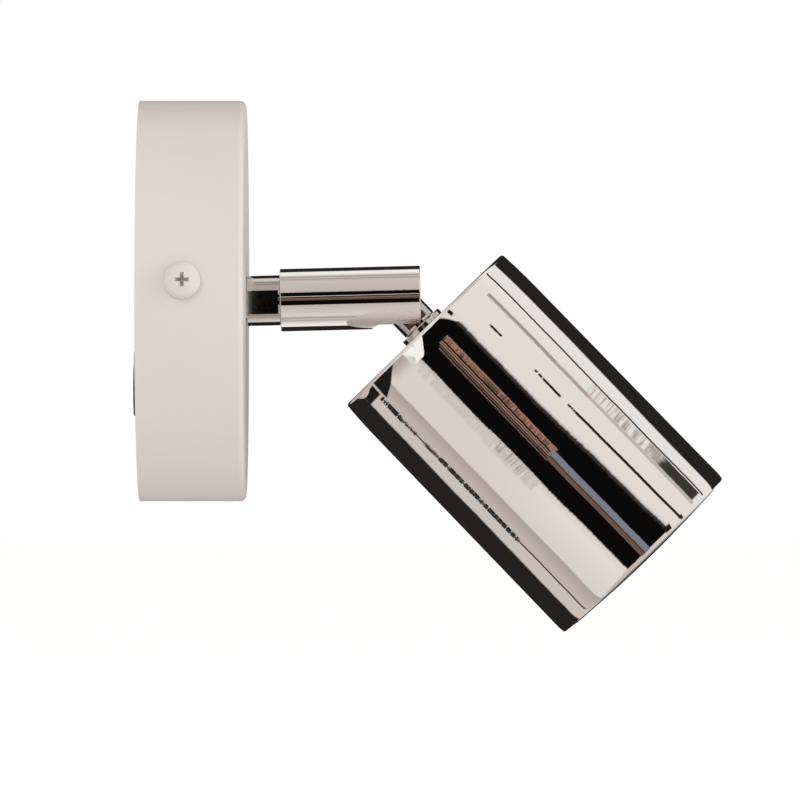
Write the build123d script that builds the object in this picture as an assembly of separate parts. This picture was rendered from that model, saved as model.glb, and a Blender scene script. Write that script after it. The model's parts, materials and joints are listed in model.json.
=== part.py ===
from build123d import *
import os
from math import cos, radians, sin, sqrt

# Pivoting spotlight wall light: a round drum rose on the wall, a short swivelling
# arm with a knuckle hinge hidden in its tube, and a cylindrical lamp head.
# Millimetres and degrees.  Origin: centre of the rose's back, on the wall.
# +X points out of the wall along the arm, +Z is up.

# ---------------------------------------------------------------- driving sizes
# Rose: a drawn steel cup
rose_diameter = 100.0
rose_depth = 26.6
rose_wall = 1.0
rose_edge_radius = 1.5
rose_bend_radius = 0.5

# Wall plate: a pressed disc with two bent lugs
plate_thickness = 1.5
plate_play = 0.5            # radial gap between the disc and the cup
slot_spacing = 60.0
slot_length = 14.0
slot_width = 5.0
lug_width = 12.0
lug_height = 17.0
lug_play = 1.0              # gap between a lug's face and the cup
lug_notch = 1.5             # relief beside each lug
lug_bend_radius = 1.0

# Side screws: pan heads through the cup into the lugs
side_screw_reach = 11.7     # from the wall to the screw's axis
side_screw_turn = 5.2       # how far the screws sit round from level
side_screw_length = 8.0
side_screw_thread = 4.0
side_screw_head = 9.0
side_screw_head_height = 2.9
side_screw_recess = 4.6
side_screw_hole = 4.6

# Cable grommet: blind rubber, in the plate below the middle
grommet_drop = 22.0
grommet_diameter = 15.0
grommet_neck = 12.0
grommet_bulge = 1.5         # how far it stands out behind the plate
grommet_edge_radius = 1.2
grommet_lip = 1.6
grommet_wall = 1.4
grommet_skin = 0.8

# Terminal block on the plate, above the middle
block_rise = 23.0
block_width = 29.0
block_length = 17.0
block_height = 13.5
pole_pitch = 9.0
pole_width = 7.6
pole_cut_depth = 5.0
wire_way = 3.0
wire_way_height = 5.5
clamp_diameter = 4.4
clamp_length = 14.0
clamp_screw_thread = 2.5
clamp_screw_head = 3.4
clamp_screw_head_height = 1.4
clamp_screw_length = 5.6
clamp_screw_spread = 8.0
clamp_screw_hole = 3.8
block_screw_thread = 3.0
block_screw_head = 4.6
block_screw_head_height = 1.8

# Earth post on the plate
earth_across = 17.0
earth_drop = 14.0
earth_thread = 4.0
earth_screw_length = 5.5
earth_head = 7.6
earth_head_height = 2.4
earth_washer_diameter = 9.0
earth_washer_thickness = 0.8

# Swivel: the stud turns in the rose's front
arm_rise = 1.4              # the slack arm stands this much above level
stud_thread = 10.0
stud_step = 1.55            # how far the tube's wall stands out round the stud
stud_exposed = 8.55         # from the rose's face to the tube
stud_flange = 0.8
stud_groove = 0.25
stud_flat_length = 6.8
stud_flat_depth = 0.75
stud_bore = 6.2
stud_tail = 12.0            # from the rose's face into the rose
stud_spigot = 7.0
swivel_fit = 0.08           # radial, thread in the rose's hole
face_play = 0.05            # between faces that turn on each other
friction_washer_diameter = 20.0
friction_washer_thickness = 1.0
stop_washer_diameter = 18.0
stop_washer_thickness = 1.2
stop_tongue_reach = 13.8
stop_tongue_width = 3.0
stop_pin_radius_out = 12.0
stop_pin_diameter = 3.0
stop_pin_length = 4.5
spring_washer_diameter = 16.0
spring_washer_thickness = 2.0
spring_washer_split = 1.2
stud_nut_across = 14.0
stud_nut_height = 4.0

# Arm tube and the fork pressed into it
tube_diameter = 15.6
tube_wall = 0.8
tube_length = 35.0
tube_slot_length = 12.2
tube_slot_width = 8.2
tube_slot_mouth = 10.4
tube_slot_corner = 2.5
tube_slot_flare = 1.3
tube_lip_radius = 0.3
press_gap = 0.02            # between pieces pressed or screwed together
fork_setback = 1.2          # from the tube's mouth to the fork's tips
fork_bore = 7.0
fork_chamfer = 0.6

# Knuckle: two stub pins carry the stem and leave its middle free for the leads
pivot_setback = 6.8         # from the tube's mouth to the pivot
pin_diameter = 4.0
pin_inner = 2.3             # inner end of each pin, from the middle plane
pin_recess = 0.35           # outer end, inside the tube's bore
pin_fit = 0.05              # radial, pin in the stem
knuckle_washer_diameter = 8.0
knuckle_washer_thickness = 0.3
knuckle_play = 0.025        # each side of a knuckle washer
knuckle_clearance = 0.6     # stem's rounded tail to the fork

# Stem
head_tilt = 47.3            # head below the tube's line, as it stands
stem_diameter = 9.5
stem_across_flats = 7.5
stem_shoulder = 9.6         # from the pivot
stem_flat_end = 8.8
stem_flat_corner = 1.6
stem_thread = 8.0
stem_bore = 4.4
stem_washer_diameter = 12.2
stem_washer_thickness = 1.5
stem_washer_chamfer = 0.25
stem_tail_beyond_nut = 0.8
stem_nut_across = 13.0
stem_nut_height = 3.0
earth_tag_thickness = 0.6
tag_tail_width = 3.0
lock_washer_diameter = 12.0
lock_washer_thickness = 0.8
lock_washer_teeth = 8

# Head shell: a spun cup, a little wider at its mouth, drawn in at both ends
shell_length = 78.6
shell_taper = 0.6           # how much wider it is at its mouth
shell_lamp_gap = 1.45       # from the lamp's rim to the lip, all round
shell_wall = 1.0
shell_crown = 11.0          # length of the crown at the rear
shell_crown_drop = 0.4      # what the radius loses there
shell_roll = 2.2            # length of the roll at the mouth
shell_roll_drop = 0.25
shell_corner_radius = 0.9
shell_lip_radius = 0.25

# Bracket, holder and their screws
bracket_thickness = 1.0
bracket_width = 13.0
bracket_span = 30.0
bracket_tab = 6.5
bracket_bend_radius = 1.2
holder_length = 28.0
holder_width = 18.0
holder_back_gap = 5.6       # from the stem's end to the holder's back
holder_corner_radius = 3.0
holder_screw_spacing = 21.0
holder_screw_thread = 3.0
holder_screw_head = 5.4
holder_screw_head_height = 1.9
holder_screw_hole = 3.4
holder_screw_sink = 2.6
holder_face = 3.6           # thickness over the pockets of the pins
holder_wire_hole = 1.6
keyhole_entry = 5.8
keyhole_slot = 3.8
keyhole_pocket = 6.4
contact_thickness = 0.5
contact_width = 3.0
contact_length = 4.0
contact_gap = 0.3           # strip to pin
pocket_depth = 6.5

# Lamp: a 50 mm reflector lamp with two bayonet pins
lamp_diameter = 50.0
lamp_length = 46.5          # rim to shoulder, without the pins
lamp_proud = 1.0            # rim beyond the shell's mouth
lamp_seat_gap = 0.3         # lamp's shoulder to the holder
lamp_twist = 25.0           # turn that frees the lamp
lamp_pin_spacing = 10.0
lamp_pin_length = 7.3
lamp_pin_neck = 3.0
lamp_pin_head = 4.9
lamp_pin_head_height = 3.0
lamp_base_length = 26.0
lamp_base_width = 16.0
lamp_base_height = 14.0
lamp_collar_height = 3.0
lamp_glass_wall = 1.2
lamp_neck_diameter = 22.0
lamp_rim_height = 3.6
lamp_bezel_face = 1.7       # width of the ring round the lens
lamp_lens_thickness = 1.6
lamp_lens_crown = 0.7
capsule_diameter = 9.0
capsule_length = 19.0

# Leads: three cores through the arm's middle
lead_diameter = 1.2
lead_pitch = 1.3            # centre to centre where they lie side by side
lead_hinge_gap = 0.9        # each core's free end, from the pivot
lead_swivel_gap = 0.3       # where the cores twist at the stud's tail

# ------------------------------------------------------------ worked-out places
rose_radius = rose_diameter / 2
cup_radius = rose_radius - rose_wall
stud_diameter = tube_diameter - 2 * stud_step
swivel_gap_out = stud_diameter / 2 * sin(radians(arm_rise)) + face_play
swivel_gap_in = friction_washer_diameter / 2 * sin(radians(arm_rise)) + face_play
stop_washer_start = -rose_wall - swivel_gap_in - friction_washer_thickness - stop_washer_thickness

tube_bore_radius = tube_diameter / 2 - tube_wall
fork_radius = tube_bore_radius - press_gap
tube_start = stud_exposed
tube_end = tube_start + tube_length
pivot_reach = tube_end - pivot_setback
fork_slot_end = pivot_reach - stem_diameter / 2 - knuckle_clearance
knuckle_gap = stem_across_flats + 2 * (knuckle_washer_thickness + 2 * knuckle_play)

shell_mouth_diameter = lamp_diameter + 2 * (shell_lamp_gap + shell_roll_drop + shell_wall)
shell_rear_diameter = shell_mouth_diameter - shell_taper
shell_rear = stem_shoulder + stem_washer_thickness
shell_mouth = shell_rear + shell_length
bracket_seat = shell_rear + shell_wall
tag_seat = bracket_seat + bracket_thickness
lock_washer_seat = tag_seat + earth_tag_thickness
stem_nut_seat = lock_washer_seat + lock_washer_thickness
stem_end = stem_nut_seat + stem_nut_height + stem_tail_beyond_nut
tag_tail_reach = stem_nut_across / 2 + 3.5
lamp_rim = shell_mouth + lamp_proud
lamp_lens_diameter = lamp_diameter - 2 * lamp_bezel_face
lamp_shoulder = lamp_rim - lamp_length
holder_front = lamp_shoulder - lamp_seat_gap
holder_rear = stem_end + holder_back_gap

block_place = Pos(plate_thickness, 0, block_rise)
block_screw_place = Pos(0, pole_pitch / 2, block_rise)
earth_place = Pos(0, earth_across, -earth_drop)

# Frames: the arm's starts at the middle of the rose's face, the head's at the pivot
arm_frame = Pos(rose_depth, 0, 0) * Rot(0, -arm_rise, 0)
pivot_place = Pos(pivot_reach, 0, 0) * Rot(0, 0, 90)
head_frame = arm_frame * Pos(pivot_reach, 0, 0) * Rot(0, head_tilt, 0)


# ------------------------------------------------------------------ small tools
def rod(diameter, start, end):
    """A round bar along X."""
    base = (Align.CENTER, Align.CENTER, Align.MIN)
    return Pos(start, 0, 0) * Cylinder(diameter / 2, end - start, rotation=(0, 90, 0), align=base)


def ring(inner, outer, start, end):
    """A flat washer or a tube along X, from its two diameters."""
    return rod(outer, start, end) - rod(inner, start, end)


def turned(points):
    """A solid of revolution about X, from (x, radius) corners."""
    return revolve(make_face(Polyline(*points, close=True)), Axis.X)


def hex_nut(across, hole, start, height):
    """A hexagon nut along X with its corners turned off."""
    blank = extrude(Plane.YZ.offset(start) * RegularPolygon(across / 2, 6, major_radius=False), height)
    corner = across / sqrt(3)
    face = 0.95 * across / 2
    slope = (corner - face) / sqrt(3)
    end = start + height
    rim = turned([(start, 0), (start, face), (start + slope, corner),
                  (end - slope, corner), (end, face), (end, 0)])
    return blank & rim - rod(hole, start, end)


def slab(plane, length, width, thickness, corner):
    """A plate with rounded corners, raised from a plane."""
    return extrude(plane * RectangleRounded(length, width, corner), thickness)


def round_wire(points, diameter):
    """A core that runs straight between arcs as large as its runs allow."""
    marks = [Vector(*p) for p in points]
    bends = [b for a, b, c in zip(marks, marks[1:], marks[2:]) if (b - a).get_angle(c - b) > 0.1]
    corners = [marks[0], *bends, marks[-1]]
    runs = [b - a for a, b in zip(corners, corners[1:])]
    radii = []
    for before, after in zip(runs, runs[1:]):
        half_turn = radians(before.get_angle(after)) / 2
        radii.append(0.45 * min(before.length, after.length) * cos(half_turn) / sin(half_turn))
    path = FilletPolyline(*corners, radius=radii)
    return sweep(Plane(origin=path @ 0, z_dir=path % 0) * Circle(diameter / 2), path=path)


def straight_core(offset, start, end):
    """A core lying along X, to one side of the middle."""
    return Pos(0, offset, 0) * rod(lead_diameter, start, end)


def screw(thread, length, head, head_height, drive, cross):
    """A pan-head screw along X: its head stands on x = 0 and its shank runs towards -X."""
    cap = rod(head, 0, head_height)
    cap = fillet(cap.faces().sort_by(Axis.X)[-1].edges(), 0.62 * head_height)
    shank = rod(thread, -length, 0)
    shank = chamfer(shank.faces().sort_by(Axis.X)[0].edges(), 0.12 * thread)
    depth = 0.62 * head_height
    blade = Pos(head_height - depth / 2, 0, 0) * Box(depth, drive, 0.22 * drive)
    body = cap + shank - blade
    if cross:
        body -= Rot(90, 0, 0) * blade
    return body


# ------------------------------------------------------------------------- rose
def rose_cup():
    """The drawn drum with its swivel hole and the two side-screw holes."""
    inner_depth = rose_depth - rose_wall
    outer = rod(rose_diameter, 0, rose_depth)
    outer = fillet(outer.faces().sort_by(Axis.X)[-1].edges(), rose_edge_radius)
    hollow = rod(2 * cup_radius, 0, inner_depth)
    hollow = fillet(hollow.faces().sort_by(Axis.X)[-1].edges(), rose_bend_radius)
    cup = outer - hollow - rod(stud_thread + 2 * swivel_fit, inner_depth, rose_depth)
    for place in side_screw_places():
        cup -= place * rod(side_screw_hole, -2 * rose_wall, rose_wall)
    return cup


def side_screw_places():
    """Where the two side screws' heads sit on the cup, facing out."""
    return [
        Rot(half_turn - side_screw_turn, 0, 0) * Pos(side_screw_reach, -rose_radius, 0) * Rot(0, 0, -90)
        for half_turn in (0, 180)
    ]


def wall_plate():
    """The pressed disc: bent lugs, wall slots, and holes for what it carries."""
    plate_radius = cup_radius - plate_play
    lug_face = cup_radius - lug_play
    plate = rod(2 * plate_radius, 0, plate_thickness)
    notch_width = lug_width + 2 * lug_notch
    notch_floor = lug_face - plate_thickness - lug_bend_radius
    for half_turn in (0, 180):
        turn = Rot(half_turn - side_screw_turn, 0, 0)
        edge = Pos(plate_thickness / 2, -(notch_floor + plate_radius) / 2, 0)
        plate -= turn * edge * Box(plate_thickness, plate_radius - notch_floor, notch_width)
        foot = Pos(0, -lug_face, 0) * Box(plate_thickness, lug_face - notch_floor, lug_width,
                                          align=(Align.MIN, Align.MIN, Align.CENTER))
        upright = Pos(0, -lug_face, 0) * Box(lug_height, plate_thickness, lug_width,
                                             align=(Align.MIN, Align.MIN, Align.CENTER))
        lug = foot + upright
        heel = lug.edges().filter_by(Axis.Z).sort_by(lambda e: e.center().X + e.center().Y)[0]
        lug = fillet(heel, lug_bend_radius + plate_thickness / 2)
        tips = lug.faces().sort_by(Axis.X)[-1].edges().filter_by(Axis.Y)
        plate += turn * fillet(tips, 0.25 * lug_width)
    lug_back = -rose_wall - lug_play - 2 * plate_thickness
    for place in side_screw_places():
        plate -= place * rod(side_screw_thread + 2 * press_gap, lug_back, 0)
    slots = Sketch() + GridLocations(slot_spacing, 0, 2, 1) * SlotOverall(slot_length, slot_width)
    plate -= extrude(Plane.YZ * slots, plate_thickness)
    plate -= Pos(0, 0, -grommet_drop) * rod(grommet_neck + 2 * press_gap, 0, plate_thickness)
    plate -= block_screw_place * rod(block_screw_thread + 2 * press_gap, 0, plate_thickness)
    plate -= earth_place * rod(earth_thread + 2 * press_gap, 0, plate_thickness)
    return plate


def side_screws():
    """Two painted pan-head screws."""
    piece = screw(side_screw_thread, side_screw_length, side_screw_head, side_screw_head_height,
                  side_screw_recess, cross=True)
    return [place * piece for place in side_screw_places()]


def cable_grommet():
    """A blind rubber grommet snapped into the plate, its round-edged flange towards the wall."""
    inside = plate_thickness + press_gap + grommet_lip
    flange = rod(grommet_diameter, -grommet_bulge, -press_gap)
    flange = fillet(flange.faces().sort_by(Axis.X)[0].edges(), grommet_edge_radius)
    lip = rod(grommet_diameter, plate_thickness + press_gap, inside)
    lip = chamfer(lip.faces().sort_by(Axis.X)[-1].edges(), 0.4 * grommet_lip)
    hollow = rod(grommet_neck - 2 * grommet_wall, grommet_skin - grommet_bulge, inside)
    return Pos(0, 0, -grommet_drop) * (flange + rod(grommet_neck, -press_gap, inside) + lip - hollow)


def wire_line(shape):
    """Turn a piece made along X to lie along Z, at the height of the wire ways."""
    return Pos(wire_way_height, 0, 0) * Rot(0, -90, 0) * shape


def terminal_block():
    """The three-pole nylon block: wire ways, clamp pockets and driver holes."""
    body = Box(block_height, block_width, block_length, align=(Align.MIN, Align.CENTER, Align.CENTER))
    body = fillet(body.edges().filter_by(Axis.X), 1.5)
    half_pocket = clamp_length / 2 + press_gap
    for pole in (-1, 0, 1):
        across = Pos(0, pole * pole_pitch, 0)
        body -= across * wire_line(rod(wire_way, -block_length / 2, block_length / 2))
        body -= across * wire_line(rod(clamp_diameter + 2 * press_gap, -half_pocket, half_pocket))
        for end in (-0.5, 0.5):
            hole = Pos(0, 0, end * clamp_screw_spread)
            body -= across * hole * rod(clamp_screw_hole, wire_way_height, block_height)
    for groove in (-0.5, 0.5):
        cut = Box(pole_cut_depth, pole_pitch - pole_width, block_length,
                  align=(Align.MAX, Align.CENTER, Align.CENTER))
        body -= Pos(block_height, groove * pole_pitch, 0) * cut
    screw_line = Pos(0, block_screw_place.position.Y, 0)
    body -= screw_line * rod(block_screw_thread + 0.4, 0, block_height)
    head_room = block_height - pole_cut_depth
    body -= screw_line * rod(block_screw_head + 0.4, head_room, block_height)
    return block_place * body


def terminal_clamps():
    """The three brass barrels inside the block."""
    barrel = wire_line(ring(wire_way, clamp_diameter, -clamp_length / 2, clamp_length / 2))
    for end in (-0.5, 0.5):
        hole = Pos(wire_way_height, 0, end * clamp_screw_spread)
        barrel -= hole * rod(clamp_screw_thread + 2 * press_gap, 0, clamp_diameter)
    return [block_place * Pos(0, pole * pole_pitch, 0) * barrel for pole in (-1, 0, 1)]


def terminal_screws():
    """Six slotted screws that close on the cores."""
    piece = screw(clamp_screw_thread, clamp_screw_length, clamp_screw_head, clamp_screw_head_height,
                  0.9 * clamp_screw_head, cross=False)
    head_seat = wire_way_height + lead_diameter / 2 + press_gap + clamp_screw_length
    return [
        block_place * Pos(head_seat, pole * pole_pitch, end * clamp_screw_spread) * piece
        for pole in (-1, 0, 1)
        for end in (-0.5, 0.5)
    ]


def block_screw():
    """The screw that holds the block to the plate."""
    seat = plate_thickness + block_height - pole_cut_depth
    piece = screw(block_screw_thread, seat, block_screw_head, block_screw_head_height,
                  0.62 * block_screw_head, cross=True)
    return block_screw_place * Pos(seat, 0, 0) * piece


def earth_screw():
    """The plate's earthing screw."""
    seat = plate_thickness + lead_diameter + 2 * press_gap + earth_washer_thickness
    piece = screw(earth_thread, earth_screw_length, earth_head, earth_head_height,
                  0.62 * earth_head, cross=True)
    return earth_place * Pos(seat, 0, 0) * piece


def earth_washer():
    """The washer that traps the earth core."""
    seat = plate_thickness + lead_diameter + 2 * press_gap
    return earth_place * ring(
        earth_thread + 2 * press_gap, earth_washer_diameter, seat, seat + earth_washer_thickness)


def swivel_stop_pin():
    """The pin welded inside the rose that the stop washer's tongue meets."""
    inner_face = rose_depth - rose_wall
    pin = rod(stop_pin_diameter, inner_face - stop_pin_length, inner_face)
    pin = chamfer(pin.faces().sort_by(Axis.X)[0].edges(), 0.4)
    return Pos(0, 0, -stop_pin_radius_out) * pin


def rose_lead(side):
    """A core from the stud's tail, bent up into its pole of the block."""
    tail = arm_frame * Pos(-stud_tail - lead_swivel_gap, side * lead_pitch, 0)
    start = tail.position
    way = plate_thickness + wire_way_height
    mouth = block_rise - block_length / 2
    return round_wire(
        [start, (way, start.Y, start.Z), (way, side * pole_pitch, 0.6 * mouth),
         (way, side * pole_pitch, block_rise - 1.0)],
        lead_diameter,
    )


def plate_earth_lead():
    """The short core from the earth pole, round the block, to the plate's earthing screw."""
    way = plate_thickness + wire_way_height
    top = block_rise + block_length / 2
    floor = plate_thickness + lead_diameter / 2 + press_gap
    beside = earth_across + earth_thread / 2 + lead_diameter / 2 + 0.15
    clear = block_width / 2 + 5.0
    return round_wire(
        [(way, 0, block_rise + 1.0), (way, 0, top + 6.0), (way, 0.75 * clear, top + 5.0),
         (way, clear, block_rise), (floor, beside + 1.5, 8.0), (floor, beside, -earth_drop + 5.0),
         (floor, beside, -earth_drop - 4.0)],
        lead_diameter,
    )


# ------------------------------------------------------------------ swivel & arm
def swivel_stud():
    """The turned stud: threaded tail, flange, spanner flats, threaded spigot, bored through."""
    flange_start = swivel_gap_out
    stud = rod(stud_thread, -stud_tail, stud_exposed + stud_spigot)
    stud = chamfer(stud.edges().filter_by(GeomType.CIRCLE), 0.6)
    collar = rod(stud_diameter, flange_start, stud_exposed)
    groove_start = flange_start + stud_flange
    flat_start = groove_start + stud_groove
    flat_side = stud_diameter / 2 - stud_flat_depth
    collar -= ring(stud_diameter - 2 * stud_groove, stud_diameter + 1, groove_start, flat_start)
    for side in (-1, 1):
        cut = Box(stud_flat_length, stud_diameter, stud_diameter, align=(Align.MIN, Align.MIN, Align.CENTER))
        collar -= Pos(flat_start, 0, 0) * Rot(90 * (1 - side), 0, 0) * Pos(0, flat_side, 0) * cut
    return stud + collar - rod(stud_bore, -stud_tail, stud_exposed + stud_spigot)


def friction_washer():
    """Nylon washer that the rose's sheet turns against."""
    start = -rose_wall - swivel_gap_in
    return ring(
        stud_thread + 2 * press_gap, friction_washer_diameter, start - friction_washer_thickness, start)


def stop_washer():
    """Steel washer whose tongue meets the stop pin, a little short of a turn."""
    start = stop_washer_start
    end = start + stop_washer_thickness
    disc = rod(stop_washer_diameter, start, end)
    tongue = Box(stop_washer_thickness, stop_tongue_width, stop_tongue_reach,
                 align=(Align.MIN, Align.CENTER, Align.MIN))
    return disc + Pos(start, 0, 0) * tongue - rod(stud_thread + 2 * press_gap, start, end)


def spring_washer():
    """Split spring washer under the nut."""
    start = stop_washer_start - spring_washer_thickness
    washer = ring(stud_thread + 2 * press_gap, spring_washer_diameter, start, start + spring_washer_thickness)
    split = Box(2 * spring_washer_thickness, spring_washer_split, spring_washer_diameter,
                align=(Align.CENTER, Align.CENTER, Align.MIN))
    return washer - Pos(start + spring_washer_thickness / 2, 0, 0) * Rot(0, 0, 25) * split


def stud_nut():
    """Thin hexagon nut on the stud's tail."""
    start = stop_washer_start - spring_washer_thickness - stud_nut_height
    return hex_nut(stud_nut_across, stud_thread + 2 * press_gap, start, stud_nut_height)


def slot_outline():
    """The tube's slot seen from below: round corners inside, flared at the mouth."""
    inner_end = tube_end - tube_slot_length
    flare_start = tube_end - tube_slot_flare
    half, wide = tube_slot_width / 2, tube_slot_mouth / 2
    outline = Polyline(
        (tube_end + 1, -wide), (tube_end, -wide), (flare_start, -half), (inner_end, -half),
        (inner_end, half), (flare_start, half), (tube_end, wide), (tube_end + 1, wide), close=True)
    face = make_face(outline)
    inner_corners = face.vertices().sort_by(Axis.X)[:2]
    return fillet(inner_corners, tube_slot_corner)


def arm_tube():
    """The plated tube with the slot underneath that lets the head fold down."""
    tube = ring(2 * tube_bore_radius, tube_diameter, tube_start, tube_end)
    tube = fillet(tube.faces().sort_by(Axis.X)[-1].edges(), tube_lip_radius)
    tube = chamfer(tube.faces().sort_by(Axis.X)[0].edges(), 0.15)
    return tube - extrude(Plane.XY * slot_outline(), -tube_diameter)


def hinge_fork():
    """The block pressed into the tube: threaded for the stud, forked round the stem."""
    tip = tube_end - fork_setback
    fork = rod(2 * fork_radius, tube_start, tip)
    fork = chamfer(fork.faces().sort_by(Axis.X)[-1].edges(), fork_chamfer)
    fork -= rod(stud_thread + 2 * press_gap, tube_start, tube_start + stud_spigot + 1.0)
    fork -= rod(fork_bore, tube_start, tip)
    slot = Box(tip - fork_slot_end, knuckle_gap, tube_diameter, align=(Align.MIN, Align.CENTER, Align.CENTER))
    fork -= Pos(fork_slot_end, 0, 0) * slot
    return fork - pivot_place * rod(pin_diameter + 2 * press_gap, -tube_diameter, tube_diameter)


def pivot_pins():
    """Two stub pins, pressed into the fork from each side."""
    outer = tube_bore_radius - pin_recess
    pin = chamfer(rod(pin_diameter, pin_inner, outer).edges(), 0.2)
    return [pivot_place * pin, pivot_place * Rot(0, 0, 180) * pin]


def knuckle_washers():
    """Two thin spring-steel washers that hold the head where it is put."""
    start = stem_across_flats / 2 + knuckle_play
    washer = ring(pin_diameter + 0.2, knuckle_washer_diameter, start, start + knuckle_washer_thickness)
    return [pivot_place * washer, pivot_place * Rot(0, 0, 180) * washer]


# ------------------------------------------------------------------------- head
def hinge_stem():
    """The stem: rounded tail on the pins, milled flats, a shoulder and a threaded nose."""
    radius = stem_diameter / 2
    flat_half = stem_across_flats / 2
    shank = rod(stem_diameter, -radius, stem_shoulder)
    shank = chamfer(shank.faces().sort_by(Axis.X)[-1].edges(), 0.3)
    tail = Rot(90, 0, 0) * Cylinder(radius, stem_diameter)
    shank &= tail + Box(stem_shoulder, stem_diameter, stem_diameter,
                        align=(Align.MIN, Align.CENTER, Align.CENTER))
    for side in (-1, 1):
        cut = Box(stem_flat_end + radius, stem_diameter, stem_diameter + 2 * stem_flat_corner,
                  align=(Align.MIN, Align.MIN, Align.CENTER))
        cut = fillet(cut.edges().filter_by(Axis.Y).sort_by(Axis.X)[-2:], stem_flat_corner)
        shank -= Rot(90 * (1 - side), 0, 0) * Pos(-radius, flat_half, 0) * cut
    nose = rod(stem_thread, stem_shoulder, stem_end)
    nose = chamfer(nose.faces().sort_by(Axis.X)[-1].edges(), 0.5)
    stem = shank + nose - rod(stem_bore, 0, stem_end)
    window = stem_diameter
    lead_way = Box(window, stem_bore, window, align=(Align.MAX, Align.CENTER, Align.MAX))
    stem -= Pos(stem_bore / 2, 0, stem_bore / 2) * lead_way
    return stem - Rot(0, 0, 90) * rod(pin_diameter + 2 * pin_fit, -radius, radius)


def stem_washer():
    """Turned washer between the stem's shoulder and the shell."""
    washer = ring(stem_thread + 2 * press_gap, stem_washer_diameter, stem_shoulder, shell_rear)
    rims = washer.edges().filter_by(GeomType.CIRCLE).sort_by(SortBy.RADIUS)[-2:]
    return chamfer(rims, stem_washer_chamfer)


def shell_half(inset):
    """Half of the shell's section down to the axis: a taper between a long crown and a short roll."""
    rear, mouth = shell_rear_diameter / 2 - inset, shell_mouth_diameter / 2 - inset
    rise = (mouth - rear) / shell_length
    crown_end = (shell_rear + shell_crown, rear + rise * shell_crown)
    roll_start = (shell_mouth - shell_roll, mouth - rise * shell_roll)
    tip = (shell_mouth, mouth - shell_roll_drop)
    back = (shell_rear, rear - shell_crown_drop)
    crown = TangentArc(crown_end, back, tangent=(-1, -rise))
    roll = TangentArc(roll_start, tip, tangent=(1, rise))
    axis_side = Polyline(tip, (shell_mouth, 0), (shell_rear, 0), back)
    return make_face(crown + Line(crown_end, roll_start) + roll + axis_side)


def head_shell():
    """The spun cup: slightly tapered wall, tight corner, thin rounded lip."""
    hollow_length = shell_mouth - bracket_seat
    room = Pos(bracket_seat, 0) * Rectangle(hollow_length, shell_mouth_diameter, align=(Align.MIN, Align.MIN))
    half = shell_half(0) - (shell_half(shell_wall) & room)
    corner = half.vertices().group_by(Axis.X)[0].sort_by(Axis.Y)[-1]
    half = fillet(corner, shell_corner_radius)
    lip = half.vertices().group_by(Axis.X)[-1]
    half = fillet(lip, shell_lip_radius)
    return revolve(half, Axis.X) - rod(stem_thread + 2 * press_gap, shell_rear, bracket_seat)


def lamp_bracket():
    """Bent strip on the stem: two uprights whose tabs carry the holder."""
    outer = bracket_span / 2
    start, top = bracket_seat, holder_rear
    blank = Polyline((start, -outer), (start, outer), (top, outer), (top, outer - bracket_tab),
                     (top - bracket_thickness, outer - bracket_tab),
                     (top - bracket_thickness, outer - bracket_thickness),
                     (start + bracket_thickness, outer - bracket_thickness),
                     (start + bracket_thickness, bracket_thickness - outer),
                     (top - bracket_thickness, bracket_thickness - outer),
                     (top - bracket_thickness, bracket_tab - outer), (top, bracket_tab - outer),
                     (top, -outer), close=True)
    half = make_face(blank)
    corners = [v for v in half.vertices() if abs(abs(v.Y) - outer) < 1e-6]
    half = fillet(corners, bracket_bend_radius)
    strip = extrude(half, bracket_width / 2, both=True)
    strip -= rod(stem_thread + 2 * press_gap, start, start + bracket_thickness)
    for side in (-0.5, 0.5):
        strip -= Pos(0, side * holder_screw_spacing, 0) * rod(
            holder_screw_thread + 2 * press_gap, top - bracket_thickness, top)
    return strip


def head_earth_tag():
    """Ring tag under the nut, its tail bent forward for the earth core."""
    end = tag_seat + earth_tag_thickness
    tail = Pos(tag_seat, 0, 0) * Box(
        earth_tag_thickness, tag_tail_width, tag_tail_reach, align=(Align.MIN, Align.CENTER, Align.MIN))
    crimp = Pos(tag_seat, 0, tag_tail_reach) * Box(
        tag_tail_width, tag_tail_width, earth_tag_thickness, align=(Align.MIN, Align.CENTER, Align.MAX))
    tag = rod(stem_nut_across, tag_seat, end) + tail + crimp
    return tag - rod(stem_thread + 2 * press_gap, tag_seat, end)


def lock_washer():
    """Shakeproof washer with teeth round its edge."""
    start = lock_washer_seat
    washer = ring(stem_thread + 2 * press_gap, lock_washer_diameter, start, start + lock_washer_thickness)
    notch = Box(lock_washer_thickness, 1.6, 1.4, align=(Align.MIN, Align.CENTER, Align.MAX))
    for tooth in range(lock_washer_teeth):
        turn = Rot(360 / lock_washer_teeth * tooth, 0, 0)
        washer -= turn * Pos(start, 0, lock_washer_diameter / 2) * notch
    return washer


def stem_nut():
    """Thin hexagon nut that clamps shell, bracket and tag to the stem."""
    return hex_nut(stem_nut_across, stem_thread + 2 * press_gap, stem_nut_seat, stem_nut_height)


# ----------------------------------------------------------------- holder & lamp
def keyholes(width, start_angle, span):
    """Arc slots for the two bayonet pins, as a sketch facing the lamp."""
    arcs = Sketch()
    for half_turn in (0, 180):
        track = CenterArc((0, 0), lamp_pin_spacing / 2, start_angle + half_turn, span)
        arcs += SlotArc(track, width)
    return arcs


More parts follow.
